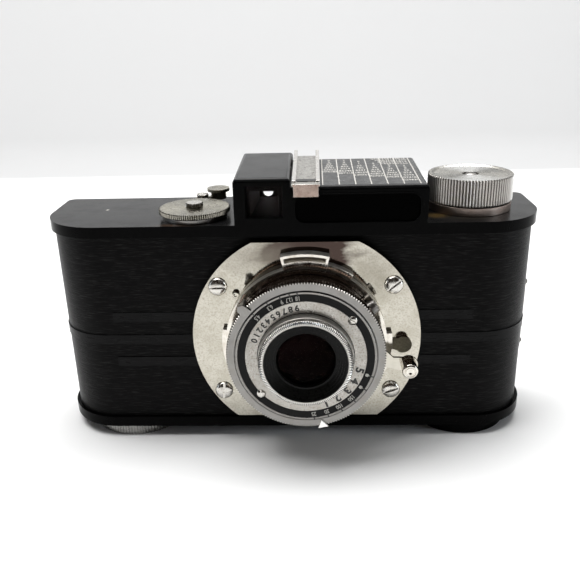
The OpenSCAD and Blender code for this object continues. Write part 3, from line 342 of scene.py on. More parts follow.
def tint(material, mask, colour):
    """Lays another colour over the surface where the mask says."""
    base = material.node_tree.nodes["Principled BSDF"].inputs["Base Color"]
    under = base.links[0].from_socket if base.links else base.default_value[:]
    mixed = wire(material.node_tree, "ShaderNodeMix", {0: mask, 6: under, 7: (*colour, 1)},
                 data_type="RGBA")
    material.node_tree.links.new(mixed.outputs[2], base)


def fade(material, size, low, high, colour):
    """Lets the colour change softly to another in clouds."""
    tint(material, pattern(material, mottle, size, Low=low, High=high), colour)


def speckle(material, size, reach, amount, colour):
    """Scatters small spots: how far apart, how large, and how many of them."""
    tint(material, pattern(material, specks, size, Size=reach, Amount=amount), colour)


def stained(material, *stains):
    """Single ragged stains, each with its size, place, strength and colour."""
    for size, place, strength, colour in stains:
        tint(material, pattern(material, stain, size, place, Strength=strength), colour)


def dull(material, size, low, high):
    """Lets the roughness change in clouds between two values."""
    clouds = pattern(material, mottle, size, Low=low, High=high)
    tree = material.node_tree
    tree.links.new(clouds, tree.nodes["Principled BSDF"].inputs["Roughness"])


def relief(material, height, depth):
    """Raises and sinks the surface by a pattern, over a depth in millimetres."""
    normal = material.node_tree.nodes["Principled BSDF"].inputs["Normal"]
    bump = wire(material.node_tree, "ShaderNodeBump", {"Height": height, "Distance": depth * MM})
    material.node_tree.links.new(bump.outputs[0], normal)


def phenolic(name, colour, sheen, gloss, dust):
    """Black moulding with uneven gloss, a little dust and small marks."""
    material = new_material(name, (colour, colour, colour * 1.04), gloss,
                            Specular_IOR_Level=sheen)
    dull(material, 7, gloss - 0.05, gloss + 0.06)
    fade(material, 1.3, -0.5, 0.5, (colour * 2,) * 3)
    speckle(material, 1.7, 0.09, 0.12, dust)
    relief(material, pattern(material, mottle, 2.2), 0.004)
    return material


moulding = phenolic("moulded_black", 0.0012, 0.035, 0.2, (0.04, 0.036, 0.032))
# Painted light: the tops get a lighter, glossier copy of the moulding, as the light falls on them.
# The stains laid on it are real.
lit_top_moulding = phenolic("moulded_black_lit_top", 0.005, 0.13, 0.2, (0.10, 0.09, 0.08))
stained(lit_top_moulding, ((4.6, 3.2, 9), (38.6, -0.6, 62.8), 0.85, (0.085, 0.055, 0.02)),
        ((12, 2.6, 9), (47, -3.4, 62.8), 0.45, (0.035, 0.032, 0.025)),
        ((8, 1.6, 9), (-29, -6.4, 62.8), 0.7, (0.06, 0.036, 0.022)),
        ((0.7, 1.0, 9), (-51.7, 10.2, 62.8), 1.0, (0.30, 0.29, 0.26)))
grained = new_material("moulded_grain", (0.001, 0.001, 0.001), 0.36, Specular_IOR_Level=0.06)
fade(grained, (3.6, 3.6, 0.22), -1.3, 0.9, (0.0155, 0.0152, 0.0145))
relief(grained, pattern(grained, mottle, (6, 6, 0.22)), 0.03)
speckle(grained, 2.6, 0.07, 0.1, (0.06, 0.055, 0.05))
# Wear and painted highlight: a lighter, glossier moulding for the edges that catch the light.
worn_lit_edge = phenolic("moulded_worn_lit_edge", 0.035, 0.3, 0.25, (0.10, 0.09, 0.08))
band_smooth = new_material("moulded_band", (0.0042, 0.0043, 0.0044), 0.3,
                           Specular_IOR_Level=0.075)
dull(band_smooth, (5, 5, 1.2), 0.25, 0.36)
fade(band_smooth, (4, 4, 0.25), -1.5, 0.8, (0.012, 0.012, 0.0118))
dead_black = new_material("dead_black", (0.0014, 0.0014, 0.0015), 0.5, Specular_IOR_Level=0.02)
dull(dead_black, 1.5, 0.42, 0.6)
MOULDED = (moulding, grained, lit_top_moulding, dead_black, worn_lit_edge, band_smooth)
GRAINED, LIT_TOP, DEAD, WORN_LIT, BAND = range(1, 6)
WALL_LOW = 6.3 * MM
WALL_HIGH = 59.7 * MM
LIP_EDGE = 1.6 * MM
WORN_LIT_ABOVE = 30 * MM
BAND_FEET = (22.35, 29.05, 35.75)
BAND_HIGH = 2.7
BAND_SLACK = 0.02
FINDER_CHAMBER = ((-12.5, -6.4, 63.2), (-0.2, 22, 74.3))
STEEP = 0.5
FACES_UP = 0.3


def within(spot, low, high):
    return all(low[i] * MM < spot[i] < high[i] * MM for i in range(3))


def on_band(piece, face):
    heights = [piece.data.vertices[v].co.z / MM for v in face.vertices]
    return any(foot - BAND_SLACK < min(heights)
               and max(heights) < foot + BAND_HIGH + BAND_SLACK for foot in BAND_FEET)


def finish_moulding(piece):
    """Gives the grain to the upright faces between the lips, save for the bands, a lighter and
    glossier copy of the moulding to the tops as painted light, a lighter edge finish that is wear
    and painted highlight to the lip's lower edge and the upper band's, and dead black to the inside
    of the finder."""
    for face in piece.data.polygons:
        height, up = face.center.z, face.normal.z
        if abs(up) < STEEP and WALL_LOW < height < WALL_HIGH:
            face.material_index = BAND if on_band(piece, face) else GRAINED
        # The tops take the lighter, glossier copy as painted light.
        if up > FACES_UP and height > WALL_HIGH:
            face.material_index = LIT_TOP
        # Painted highlight with wear on the lip's lower edge and the tops of the upper bands.
        under_lip = -0.95 < up < -0.25 and WALL_HIGH - MM < height < WALL_HIGH + LIP_EDGE
        band_top = 0.2 < up < 0.9 and WORN_LIT_ABOVE < height < WALL_HIGH and face.normal.y < -0.3
        if under_lip or band_top:
            face.material_index = WORN_LIT
        if within(face.center, *FINDER_CHAMBER):
            face.material_index = DEAD


finish_moulding(softened("body_shell", "moulded_body", 0.35, *MOULDED))
softened("foot_disc", "moulded_foot", 0.4, moulding)

# Film gate, pressure plate and springs
# Stamped steel inside the body, lacquered dull black so that it throws no light at the film. The
# leaf springs are bare spring steel, riveted to the back, and small screws hold the gate.
lacquer = new_material("black_lacquer", (0.008, 0.008, 0.0082), 0.4, Specular_IOR_Level=0.12)
dull(lacquer, 1.2, 0.32, 0.5)
relief(lacquer, pattern(lacquer, mottle, 0.35), 0.006)
spring_steel = new_material("spring_steel", (0.36, 0.35, 0.33), 0.3, 1)
dull(spring_steel, (4, 0.5, 0.15), 0.22, 0.42)
fade(spring_steel, 2, -0.4, 0.6, (0.22, 0.19, 0.15))
screw_steel = new_material("screw_steel", (0.62, 0.60, 0.56), 0.2, 1)
dull(screw_steel, 0.8, 0.12, 0.32)
fade(screw_steel, 0.5, -0.7, 0.5, (0.26, 0.22, 0.17))
softened("film_gate", "gate_stamping", 0.1, lacquer)
softened("gate_screws", "gate_screw_set", 0.08, screw_steel)
softened("pressure_plate", "pressure_stamping", 0.12, lacquer)
softened("pressure_springs", "leaf_springs", 0.04, spring_steel)

# Back cover and latch
# The back is moulded like the body and carries its grain and bands on. A sprung steel strip with
# a rolled edge holds it shut at the right end.
finish_moulding(softened("back_cover", "moulded_back", 0.3, *MOULDED))
latch_steel = new_material("latch_steel", (0.16, 0.155, 0.145), 0.3, 1)
dull(latch_steel, (0.5, 3, 3), 0.22, 0.45)
fade(latch_steel, (0.6, 4, 4), -0.4, 0.5, (0.20, 0.19, 0.175))
softened("back_latch", "latch_strip", 0.1, latch_steel)

# Front plate
# A chromed brass pressing with a chamfered edge, polished nearly to a mirror: it shows the rings
# in front of it. Wear has left dark specks and a faint yellow cast. Brown patches across the top
# and at the right are a painted reflection of shade.
chrome = new_material("chrome_plated", (0.53, 0.505, 0.44), 0.06, 1)
dull(chrome, 3, 0.02, 0.09)
fade(chrome, 5, -0.3, 0.8, (0.42, 0.395, 0.33))
speckle(chrome, 1.3, 0.17, 0.3, (0.22, 0.195, 0.155))
relief(chrome, pattern(chrome, mottle, 1.1), 0.0014)
plate_chrome = chrome.copy()
plate_chrome.name = "plate_chrome"
fade(plate_chrome, 0.45, -0.4, 0.9, (0.37, 0.345, 0.29))
# Painted reflection: dark brown and grey-brown patches at the top and the right stand for shade
# seen in the mirror-like plate.
stained(plate_chrome, ((17, 9, 6.6), (4.6, -9, 55.8), 2.3, (0.06, 0.042, 0.036)),
        ((12, 9, 8), (-8, -9, 54), 0.6, (0.22, 0.20, 0.165)),
        ((9, 9, 9), (22, -9, 49), 0.5, (0.20, 0.18, 0.14)),
        ((6, 9, 4), (-19, -9, 47), 0.3, (0.22, 0.20, 0.15)))
softened("front_plate", "plate_pressing", 0.3, plate_chrome, segments=2)
softened("lens_sleeve", "guide_sleeve", 0.1, screw_steel)

# Plate screws
# Four plated steel screws with low domed heads hold the plate. Their slots lie as they were left.
# A turned pin between two of them stops the focusing ring.
LENS_X = 3.95
LENS_Z = 31.33
LENS_AT = (LENS_X, LENS_Z)
FRONT_Y = -7.516


def lens_spot(radius, station, clock):
    """A point by its distance from the lens axis, in front of the body, and at a clock angle."""
    turned_by = math.radians(clock)
    return Vector((LENS_X + radius * math.sin(turned_by), FRONT_Y - station,
                   LENS_Z + radius * math.cos(turned_by))) * MM


WELD = 0.0005


def turned(name, outline, at=LENS_AT, upright=False, steps=96, closed=True):
    """Draws an outline of radius and height point by point beside an axis, and spins it round. The
    axis stands upright or runs forwards; an outline that isn't closed ends on the axis."""
    across, other = at
    spots = [Vector((across + r, other, h) if upright else (across + r, FRONT_Y - h, other)) * MM
             for r, h in outline]
    centre = Vector((across, other, 0) if upright else (across, 0, other)) * MM
    deselect_everything()
    bpy.ops.mesh.primitive_plane_add(size=MM, location=spots[0])
    piece = bpy.context.object
    piece.name = name
    bpy.ops.object.transform_apply(location=True)
    bpy.ops.object.mode_set(mode="EDIT")
    bpy.ops.mesh.select_mode(type="VERT")
    bpy.ops.mesh.select_all(action="SELECT")
    bpy.ops.mesh.merge(type="CENTER")
    here = spots[0]
    for spot in spots[1:] + (spots[:1] if closed else []):
        bpy.ops.mesh.extrude_region_move(TRANSFORM_OT_translate={"value": spot - here})
        here = spot
    bpy.ops.mesh.select_all(action="SELECT")
    bpy.ops.mesh.remove_doubles(threshold=WELD * MM)
    bpy.ops.mesh.spin(steps=steps, angle=2 * math.pi, center=centre,
                      axis=(0, 0, 1) if upright else (0, -1, 0))
    bpy.ops.mesh.select_all(action="SELECT")
    bpy.ops.mesh.remove_doubles(threshold=WELD * MM)
    bpy.ops.mesh.normals_make_consistent(inside=False)
    bpy.ops.object.mode_set(mode="OBJECT")
    return piece


def turned_upright(name, outline, at, steps=96, closed=True):
    return turned(name, outline, at, True, steps, closed)


SAW_HALF = 10


def cut_slot(piece, width, depth, top):
    """Saws a slot along X across the top of a screw that stands upright at the origin."""
    bpy.ops.mesh.primitive_cube_add(size=2, location=(0, 0, top * MM))
    saw = bpy.context.object
    saw.scale = (SAW_HALF * MM, width / 2 * MM, depth * MM)
    bpy.ops.object.transform_apply(location=True, scale=True)
    take(piece)
    slot = piece.modifiers.new("slot", "BOOLEAN")
    slot.object = saw
    slot.solver = "EXACT"
    bpy.ops.object.modifier_apply(modifier="slot")
    bpy.data.objects.remove(saw)


def copied(master, name, places):
    """Copies a piece to several places, each copy with its own mesh, as one object."""
    copies = []
    for place in places:
        copy = bpy.data.objects.new(name, master.data.copy())
        bpy.context.scene.collection.objects.link(copy)
        copy.data.transform(place)
        copies.append(copy)
    deselect_everything()
    for copy in copies:
        copy.select_set(True)
    bpy.context.view_layer.objects.active = copies[0]
    if len(copies) > 1:
        bpy.ops.object.join()
    return bpy.context.object


TURNED_SHARP = 40


def slotted_screws(node, name, metal, outline, slot, edge, steps, places):
    """Turns a screw, saws a slot of a width and depth into its head, breaks its edges, and sets a
    copy in each place."""
    screw = turned_upright("screw_blank", outline, (0, 0), steps, False)
    cut_slot(screw, *slot, outline[0][1])
    break_edges(screw, edge, TURNED_SHARP, 2)
    screws = copied(screw, name, places)
    bpy.data.objects.remove(screw)
    return fitted(screws, node, [metal], TURNED_SHARP)


def facing_front(place, lean=0.0):
    """Stands what lies flat at the origin up on the front, leaning to the left by an angle."""
    return Matrix.Translation(place) @ Matrix.Rotation(-math.radians(lean), 4, "Y") @ \
        Matrix.Rotation(math.radians(90), 4, "X")


PLATE_FACE = 1.6
SCREW_RADIUS = 27.75
SCREW_CLOCKS = ((-56.2, 2), (56.2, 40), (123.8, 20), (-123.8, 85))
slotted_screws("plate_screws", "plate_screw_set", screw_steel,
               [(0, 1.28), (0.8, 1.24), (1.5, 1.12), (2.1, 0.86), (2.42, 0.5), (2.5, 0.15),
                (2.42, 0), (1.2, 0), (1.2, -4.75), (0, -4.75)], (0.62, 0.62), 0.05, 48,
               [facing_front(lens_spot(SCREW_RADIUS, PLATE_FACE, clock), lean)
                for clock, lean in SCREW_CLOCKS])
PIN_RADIUS = 22.7
PIN_CLOCK = -54
PIN_AT = [c / MM for c in lens_spot(PIN_RADIUS, 0, PIN_CLOCK).xz]
pin = turned("stop_pin_turned", [(0, 2.45), (0.36, 2.5), (0.44, 2.9), (0.74, 2.93), (0.88, 2.8),
                                 (0.88, 0.45), (0, 0.45)], PIN_AT, steps=32, closed=False)
fitted(pin, "stop_pin", [chrome], TURNED_SHARP)


# Focusing ring
# Turned brass, chromed, with a milled grip at the top and two lugs. It turns on the sleeve, and
# its slanting rims and the small faces on top of the grip have a brighter satin chrome as a painted
# highlight.
def axis_reach(spot, at, upright=False):
    """How far a point lies from an axis, in millimetres."""
    return math.hypot(spot.x - at[0] * MM, (spot.y if upright else spot.z) - at[1] * MM) / MM


bright_chrome = new_material("chrome_bright", (0.72, 0.69, 0.63), 0.08, 1)
dull(bright_chrome, 2, 0.04, 0.16)
fade(bright_chrome, 2.5, -0.4, 0.8, (0.55, 0.50, 0.43))
# Painted highlight: a brighter, rougher chrome for the front rims and the small top faces of the
# grip.
highlight_chrome = new_material("chrome_edge_highlight", (0.86, 0.84, 0.78), 0.34, 1)
dull(highlight_chrome, 1.5, 0.28, 0.42)
FOCUS_FRONT = 2.6
FOCUS_GRIP = 20.6
SMALL_FACE = 8e-6
focus = softened("focus_ring", "focus_turning", 0.2, bright_chrome, highlight_chrome, segments=2)
for face in focus.data.polygons:
    front_rim = 0.15 < abs(face.normal.y) < 0.97 and face.center.y < (FRONT_Y - FOCUS_FRONT) * MM
    grip_top = face.normal.z > 0.5 and axis_reach(face.center, LENS_AT) > FOCUS_GRIP
    if front_rim or grip_top and face.area < SMALL_FACE:
        face.material_index = 1

# Draw tube, shutter case and rear cell
# The tube is chromed brass, the case is worn to a brown tone, and the rear cell is blackened. A
# threaded stub at the upper right takes a cable release.
turning, takes, gives = effect_tree("turning_marks", Pitch=0.1)
flat_spot = wire(turning, "ShaderNodeVectorMath", {0: takes["Vector"], 1: (1, 1, 0)},
                 operation="MULTIPLY")
far = wire(turning, "ShaderNodeVectorMath", {0: flat_spot.outputs[0]}, operation="LENGTH")
count = wire(turning, "ShaderNodeMath", {0: far.outputs["Value"], 1: takes["Pitch"]},
             operation="DIVIDE")
marks = wire(turning, "ShaderNodeTexNoise", {"W": count.outputs[0], "Scale": 1.0, "Detail": 2.0},
             noise_dimensions="1D")
turning.links.new(marks.outputs["Fac"], gives)

ALONG_LENS = (90, 0, 0)
LENS_AXIS = ((LENS_X, 0, LENS_Z), ALONG_LENS)


def turned_metal(name, colour, roughness, axis, worn, shine=0.5):
    """Plated metal as it comes from the lathe: fine rings round its axis, and worn patches."""
    material = new_material(name, colour, roughness, 1, Anisotropic=shine)
    around = wire(material.node_tree, "ShaderNodeTangent", {}, direction_type="RADIAL",
                  axis="Y" if axis[1] == ALONG_LENS else "Z")
    shader = material.node_tree.nodes["Principled BSDF"]
    material.node_tree.links.new(around.outputs[0], shader.inputs["Tangent"])
    dull(material, 1.6, roughness - 0.06, roughness + 0.08)
    fade(material, 3, -0.5, 0.6, worn)
    speckle(material, 0.9, 0.11, 0.15, [c * 0.4 for c in colour])
    relief(material, pattern(material, turning, 1, *axis, Pitch=0.09), 0.002)
    return material


ring_metal = turned_metal("ring_nickel", (0.27, 0.262, 0.25), 0.34, LENS_AXIS,
                          (0.25, 0.235, 0.215))
softened("draw_tube", "tube_turning", 0.1, chrome)
bronzed = turned_metal("bronzed_case", (0.115, 0.08, 0.062), 0.24, LENS_AXIS,
                       (0.06, 0.042, 0.034))
softened("shutter_case", "case_turning", 0.08, bronzed)
softened("cable_socket", "release_stub", 0.08, ring_metal)
softened("rear_cell", "rear_cell_turning", 0.1, lacquer)

# Shutter and iris blades
# Thin blued steel leaves on pins in the case. The shutter's two stay closed behind the iris until
# the lever is pressed, and the iris's five follow the aperture ring.
blued = new_material("blued_steel", (0.018, 0.018, 0.021), 0.34, 1)
dull(blued, (1.5, 0.2, 1.5), 0.24, 0.44)
fade(blued, 2, -0.4, 0.6, (0.010, 0.009, 0.012))


def dress(node, material):
    """A node that keeps its own shape is given its real surface."""
    source = frame["nodes"][node]
    for holder in source.material_slots:
        holder.material = material
    if not source.material_slots:
        source.data.materials.append(material)


for i in range(1, 6):
    dress(f"iris_blade_{i}", blued)
for i in (1, 2):
    dress(f"shutter_blade_{i}", blued)

# Scale
# A black lacquered ring with a raised bright rim. The aperture figures stand on its upper left
# and the shutter speeds on its lower right, with a tick across the rim for each.
softened("scale_ring", "scale_turning", 0.05, lacquer)
rim_metal = turned_metal("rim_nickel", (0.26, 0.25, 0.235), 0.3, LENS_AXIS, (0.2, 0.19, 0.175))
rim = turned("scale_rim", [(17.5, 12.9), (17.56, 13.0), (17.62, 13.03), (18.0, 13.03),
                           (18.07, 12.98), (18.08, 12.85), (17.5, 12.85)], steps=192)
settle(rim, "scale_ring", [rim_metal])
print_white = new_material("print_white", (0.50, 0.485, 0.45), 0.6)
fade(print_white, 0.5, -0.5, 0.8, (0.30, 0.285, 0.255))
print_black = new_material("print_black", (0.010, 0.010, 0.010), 0.5)
fade(print_black, 0.4, -0.7, 0.6, (0.05, 0.047, 0.042))
SCALE_FACE = 12.95
INK = 0.02
EM_OF_FIGURE = 1.4


def figures(text, height, matrix, narrow=1.0, bold=0.03):
    """Plain figures as a thin raised print, laid flat at the origin and then put in place."""
    deselect_everything()
    bpy.ops.object.text_add(location=(0, 0, 0))
    label = bpy.context.object
    label.data.body = text
    label.data.size = height * EM_OF_FIGURE * MM
    label.data.extrude = INK / 2 * MM
    label.data.align_x = "CENTER"
    label.data.align_y = "CENTER"
    label.data.offset = bold * MM
    label.data.resolution_u = 3
    bpy.ops.object.convert(target="MESH")
    label.data.transform(matrix @ Matrix.Diagonal((narrow, 1, 1, 1)))
    return label


def printed(pieces, name, node, material):
    """Joins marks and figures to one printed layer."""
    deselect_everything()
    for piece in pieces:
        piece.select_set(True)
    bpy.context.view_layer.objects.active = pieces[0]
    bpy.ops.object.join()
    layer = bpy.context.object
    layer.name = name
    layer.data.materials.clear()
    return settle(layer, node, [material])


def bar(width, length, height, matrix):
    """A flat mark with rounded ends, length along Y, laid at the origin and put in place."""
    deselect_everything()
    bpy.ops.mesh.primitive_plane_add(size=1)
    mark = bpy.context.object
    mark.scale = (width * MM, length * MM, 1)
    bpy.ops.object.transform_apply(scale=True)
    bpy.ops.object.mode_set(mode="EDIT")
    bpy.ops.mesh.select_all(action="SELECT")
    bpy.ops.mesh.bevel(offset=min(width, length) * 0.3 * MM, segments=2, affect="VERTICES")
    bpy.ops.mesh.select_all(action="SELECT")
    bpy.ops.mesh.extrude_region_move(TRANSFORM_OT_translate={"value": (0, 0, height * MM)})
    bpy.ops.mesh.select_all(action="SELECT")
    bpy.ops.mesh.normals_make_consistent(inside=False)
    bpy.ops.object.mode_set(mode="OBJECT")
    mark.data.transform(matrix)
    return mark


def on_ring(radius, station, clock, tops_out=True):
    """The place of a figure on a ring: its top points away from the axis, or towards it."""
    return facing_front(lens_spot(radius, station, clock), -clock + (0 if tops_out else 180))


RIM_FACE = 13.03
FIGURES_AT = 16.5
FIGURE_HEIGHT = 1.15
DOTS_AT = 16.4
DOT = 0.85
LINES_AT = 17.15
LINE = (0.16, 0.7)
TICKS_AT = 17.66
TICK = (0.34, 1.1, 0.5)
TICK_SUNK = 0.49
APERTURE_MARKS = ((-6.1, "18"), (-12.4, ""), (-20.3, "9"), (-31.9, "6.3"), (-46.7, "4.5"))
SPEED_MARKS = ((108, ""), (121.4, ""), (135.3, "150"), (148.9, "100"), (161.6, "50"),
               (173.7, "25"))


def scale_figure(label, clock, tops_out, narrow=0.8):
    place = on_ring(FIGURES_AT, SCALE_FACE + INK / 2, clock, tops_out)
    return figures(label, FIGURE_HEIGHT, place, narrow)


scale_print = [scale_figure(label, clock, False) for clock, label in APERTURE_MARKS if label]
scale_print.append(scale_figure("12.7", -13.4, False, 0.7))
scale_print += [scale_figure(label, clock, True) for clock, label in SPEED_MARKS if label]
scale_print += [bar(DOT, DOT, INK, on_ring(DOTS_AT, SCALE_FACE, clock))
                for clock, label in SPEED_MARKS if not label]
scale_print += [bar(*LINE, INK, on_ring(LINES_AT, SCALE_FACE, clock))
                for clock, label in SPEED_MARKS]
printed(scale_print, "scale_figures", "scale_ring", print_white)
ticks = [bar(*TICK, on_ring(TICKS_AT, RIM_FACE - TICK_SUNK, clock))
         for clock, label in APERTURE_MARKS + SPEED_MARKS]
printed(ticks, "scale_ticks", "scale_ring", print_black)

# Shutter face
# A satin nickel ring, turned in fine circles that spread the light into soft rays. Plain figures
# are printed round it, and two small screws hold it.
face_metal = turned_metal("face_nickel", (0.42, 0.405, 0.375), 0.3, LENS_AXIS,
                          (0.32, 0.295, 0.26), 0.75)
fade(face_metal, 0.5, -0.8, 0.8, (0.22, 0.19, 0.16))
softened("shutter_face", "face_turning", 0.05, face_metal)
SMALL_FIGURES, SMALL_HEIGHT, SMALL_AT = 10, 1.6, 14.0
SMALL_FROM, SMALL_STEP = -69, 6.75
LARGE_FIGURES, LARGE_HEIGHT, LARGE_AT = 5, 2.1, 14.1
LARGE_FROM, LARGE_STEP = 105, 13.5
face_print = []
for i in range(SMALL_FIGURES):
    place = on_ring(SMALL_AT, SCALE_FACE + INK / 2, SMALL_FROM + SMALL_STEP * i, False)
    face_print.append(figures(str(i), SMALL_HEIGHT, place, 1.0, 0.08))
for i in range(LARGE_FIGURES):
    place = on_ring(LARGE_AT, SCALE_FACE + INK / 2, LARGE_FROM + LARGE_STEP * i)
    face_print.append(figures(str(LARGE_FIGURES - i), LARGE_HEIGHT, place, 1.05, 0.12))
printed(face_print, "face_figures", "shutter_face", print_black)
# Painted shade: a thin black ring on the face stands for the shade in the groove round the hub.
painted_groove_shade = turned("hub_groove_shade", [(12.3, 12.94), (12.3, 12.965), (12.52, 12.965), (12.52, 12.94)])
settle(painted_groove_shade, "shutter_face", [print_black])
FACE_SCREW_RADIUS = 15.75
FACE_SCREW_FOOT = 12.13
FACE_SCREW_CLOCKS = ((49, -30), (229, 88))
slotted_screws("face_screws", "face_screw_set", screw_steel,
               [(0, 1.17), (0.5, 1.13), (0.95, 0.95), (1.18, 0.7), (1.2, 0.55), (1.2, 0),
                (0.6, 0), (0.6, -2.2), (0, -2.2)], (0.3, 0.4), 0.03, 40,
               [facing_front(lens_spot(FACE_SCREW_RADIUS, FACE_SCREW_FOOT, clock), lean)
                for clock, lean in FACE_SCREW_CLOCKS])

# Speed ring and its pointer
# A flat grey nickel ring with fine pointed teeth all round, turned by the finger. A small white
# pointer at its edge marks the speed.
grooves, takes, gives = effect_tree("tooth_grooves", Teeth=100.0, Phase=0.0, Inner=1.0)
parts = wire(grooves, "ShaderNodeSeparateXYZ", {0: takes["Vector"]})
clock = wire(grooves, "ShaderNodeMath", {0: parts.outputs["Y"], 1: parts.outputs["X"]},
             operation="ARCTAN2")
turns = wire(grooves, "ShaderNodeMath", {0: clock.outputs[0], 1: takes["Teeth"],
                                         2: takes["Phase"]}, operation="MULTIPLY_ADD")
wave = wire(grooves, "ShaderNodeMath", {0: turns.outputs[0]}, operation="COSINE")
deep = wire(grooves, "ShaderNodeMapRange",
            {"Value": wave.outputs[0], "From Min": 0.3, "From Max": -0.9})
flat_spot = wire(grooves, "ShaderNodeVectorMath", {0: takes["Vector"], 1: (1, 1, 0)},
                 operation="MULTIPLY")
far = wire(grooves, "ShaderNodeVectorMath", {0: flat_spot.outputs[0]}, operation="LENGTH")
rim_only = wire(grooves, "ShaderNodeMath", {0: far.outputs["Value"], 1: takes["Inner"]},
                operation="GREATER_THAN")
both = wire(grooves, "ShaderNodeMath", {0: deep.outputs[0], 1: rim_only.outputs[0]},
            operation="MULTIPLY")
grooves.links.new(both.outputs[0], gives)


def grimed(name, metal, teeth, inner, axis, dirt_and_shade, rubbed_glint):
    """The same metal with dirt and painted shade in the grooves of a toothed rim, and painted
    glints on its rubbed points.
    """
    material = metal.copy()
    material.name = name
    # Painted glints on the points, then dirt with painted shade in the grooves.
    for phase, colour in ((math.pi, rubbed_glint), (0, dirt_and_shade)):
        tint(material, pattern(material, grooves, 1, *axis, Teeth=teeth, Inner=inner,
                               Phase=phase), colour)
    return material


def knurled(piece, at, upright, teeth, low, high, depth):
    """Draws every other column of a rim towards the axis, which leaves pointed teeth."""
    across, other = (c * MM for c in at)
    step = math.pi / teeth
    for spot in piece.data.vertices:
        u = spot.co.x - across
        v = (spot.co.y if upright else spot.co.z) - other
        column = round(math.atan2(v, u) / step)
        spot.select = column % 2 == 1 and low * MM < math.hypot(u, v) < high * MM
    for part in (*piece.data.edges, *piece.data.polygons):
        part.select = False
    take(piece)
    bpy.ops.object.mode_set(mode="EDIT")
    bpy.ops.mesh.select_mode(type="VERT")
    less = 1 - depth / high
    pull = (less, less, 1) if upright else (less, 1, less)
    centre = (across, other, 0) if upright else (across, 0, other)
    bpy.ops.transform.resize(value=pull, center_override=centre)
    bpy.ops.object.mode_set(mode="OBJECT")


SPEED_TEETH = 176
SPEED_RIM = 20.1
SPEED_SIDE = 12.5
TOOTHED_SHARP = 20
speed = turned("speed_turning", [
    (18.16, 9.85), (20.36, 9.85), (20.5, 9.98), (20.5, 12.3), (20.5, 12.62), (20.34, 12.78),
    (20.02, 12.8), (18.42, 12.8), (18.3, 12.7), (18.16, 12.66)], steps=2 * SPEED_TEETH)
knurled(speed, LENS_AT, False, SPEED_TEETH, 20.2, 20.6, 0.3)
for face in speed.data.polygons:
    side = FRONT_Y - face.center.y / MM < SPEED_SIDE
    face.material_index = 1 if side and axis_reach(face.center, LENS_AT) > SPEED_RIM else 0
fitted(speed, "speed_ring", [
    grimed("ring_nickel_rim", ring_metal, SPEED_TEETH, SPEED_RIM, LENS_AXIS,
           (0.045, 0.038, 0.032), (0.62, 0.6, 0.56)), bronzed], TOOTHED_SHARP)
pointer_white = new_material("pointer_white", (0.97, 0.96, 0.93), 0.32, 1)
fade(pointer_white, 0.6, -0.5, 0.5, (0.8, 0.78, 0.73))
softened("speed_pointer", "white_pointer", 0.05, pointer_white)

# Aperture ring and its pointer
# A flat nickel ring that turns under the speed ring, with an arm that climbs past the teeth and
# ends in a point.
softened("aperture_lever", "aperture_arm", 0.02, ring_metal)

# Front cell
# A nickel mount with a smooth band and a fine milled rim, screwed into the shutter. It is black
# inside, and steps down in rings to the glass.
CELL_TEETH = 150
CELL_RIM = 11.0
CELL_MOUTH = 10.68
CELL_SEAT = 13
GLASS_HOLE = 7.9
BAND_FRONT = 15.46
BAFFLES = 5
BAFFLE_IN = 0.6
BAFFLE_BACK = 0.4
cell_metal = turned_metal("cell_nickel", (0.42, 0.41, 0.385), 0.24, LENS_AXIS,
                          (0.34, 0.32, 0.285), 0.6)
cell_satin = turned_metal("cell_satin", (0.42, 0.405, 0.375), 0.46, LENS_AXIS,
                          (0.34, 0.31, 0.275), 0.2)
cell_black = new_material("cell_black", (0.004, 0.004, 0.0036), 0.45, Specular_IOR_Level=0.1)
dull(cell_black, 0.8, 0.22, 0.42)
relief(cell_black, pattern(cell_black, turning, 1, *LENS_AXIS, Pitch=0.12), 0.01)
cell_outline = [(9.2, 10.75), (9.2, 12.98), (12.08, 12.98), (12.2, 13.1), (12.2, 15.3),
                (12.1, 15.42), (12.05, BAND_FRONT), (12.05, 16.3), (11.85, 16.62),
                (11.4, 16.86), (11.1, 16.9), (10.72, 16.9), (10.62, 16.84)]
for i in range(BAFFLES):
    radius = 10.5 - BAFFLE_IN * i
    cell_outline += [(radius, 16.42 - BAFFLE_BACK * i), (radius, 16.34 - BAFFLE_BACK * i)]
cell_outline += [(7.62, 14.7), (7.6, 14.5), (7.6, 10.75)]
cell = turned("cell_turning", cell_outline, steps=2 * CELL_TEETH)
knurled(cell, LENS_AT, False, CELL_TEETH, 11.3, 12.07, 0.26)
for face in cell.data.polygons:
    reach = axis_reach(face.center, LENS_AT)
    station = FRONT_Y - face.center.y / MM
    if reach < CELL_MOUTH and station > CELL_SEAT or reach < GLASS_HOLE:
        face.material_index = 1
    elif station < BAND_FRONT:
        face.material_index = 2
fitted(cell, "front_cell", [
    grimed("cell_nickel_rim", cell_metal, CELL_TEETH, CELL_RIM, LENS_AXIS, (0.012, 0.01, 0.009),
           (0.98, 0.96, 0.92)), cell_black, cell_satin], 24)

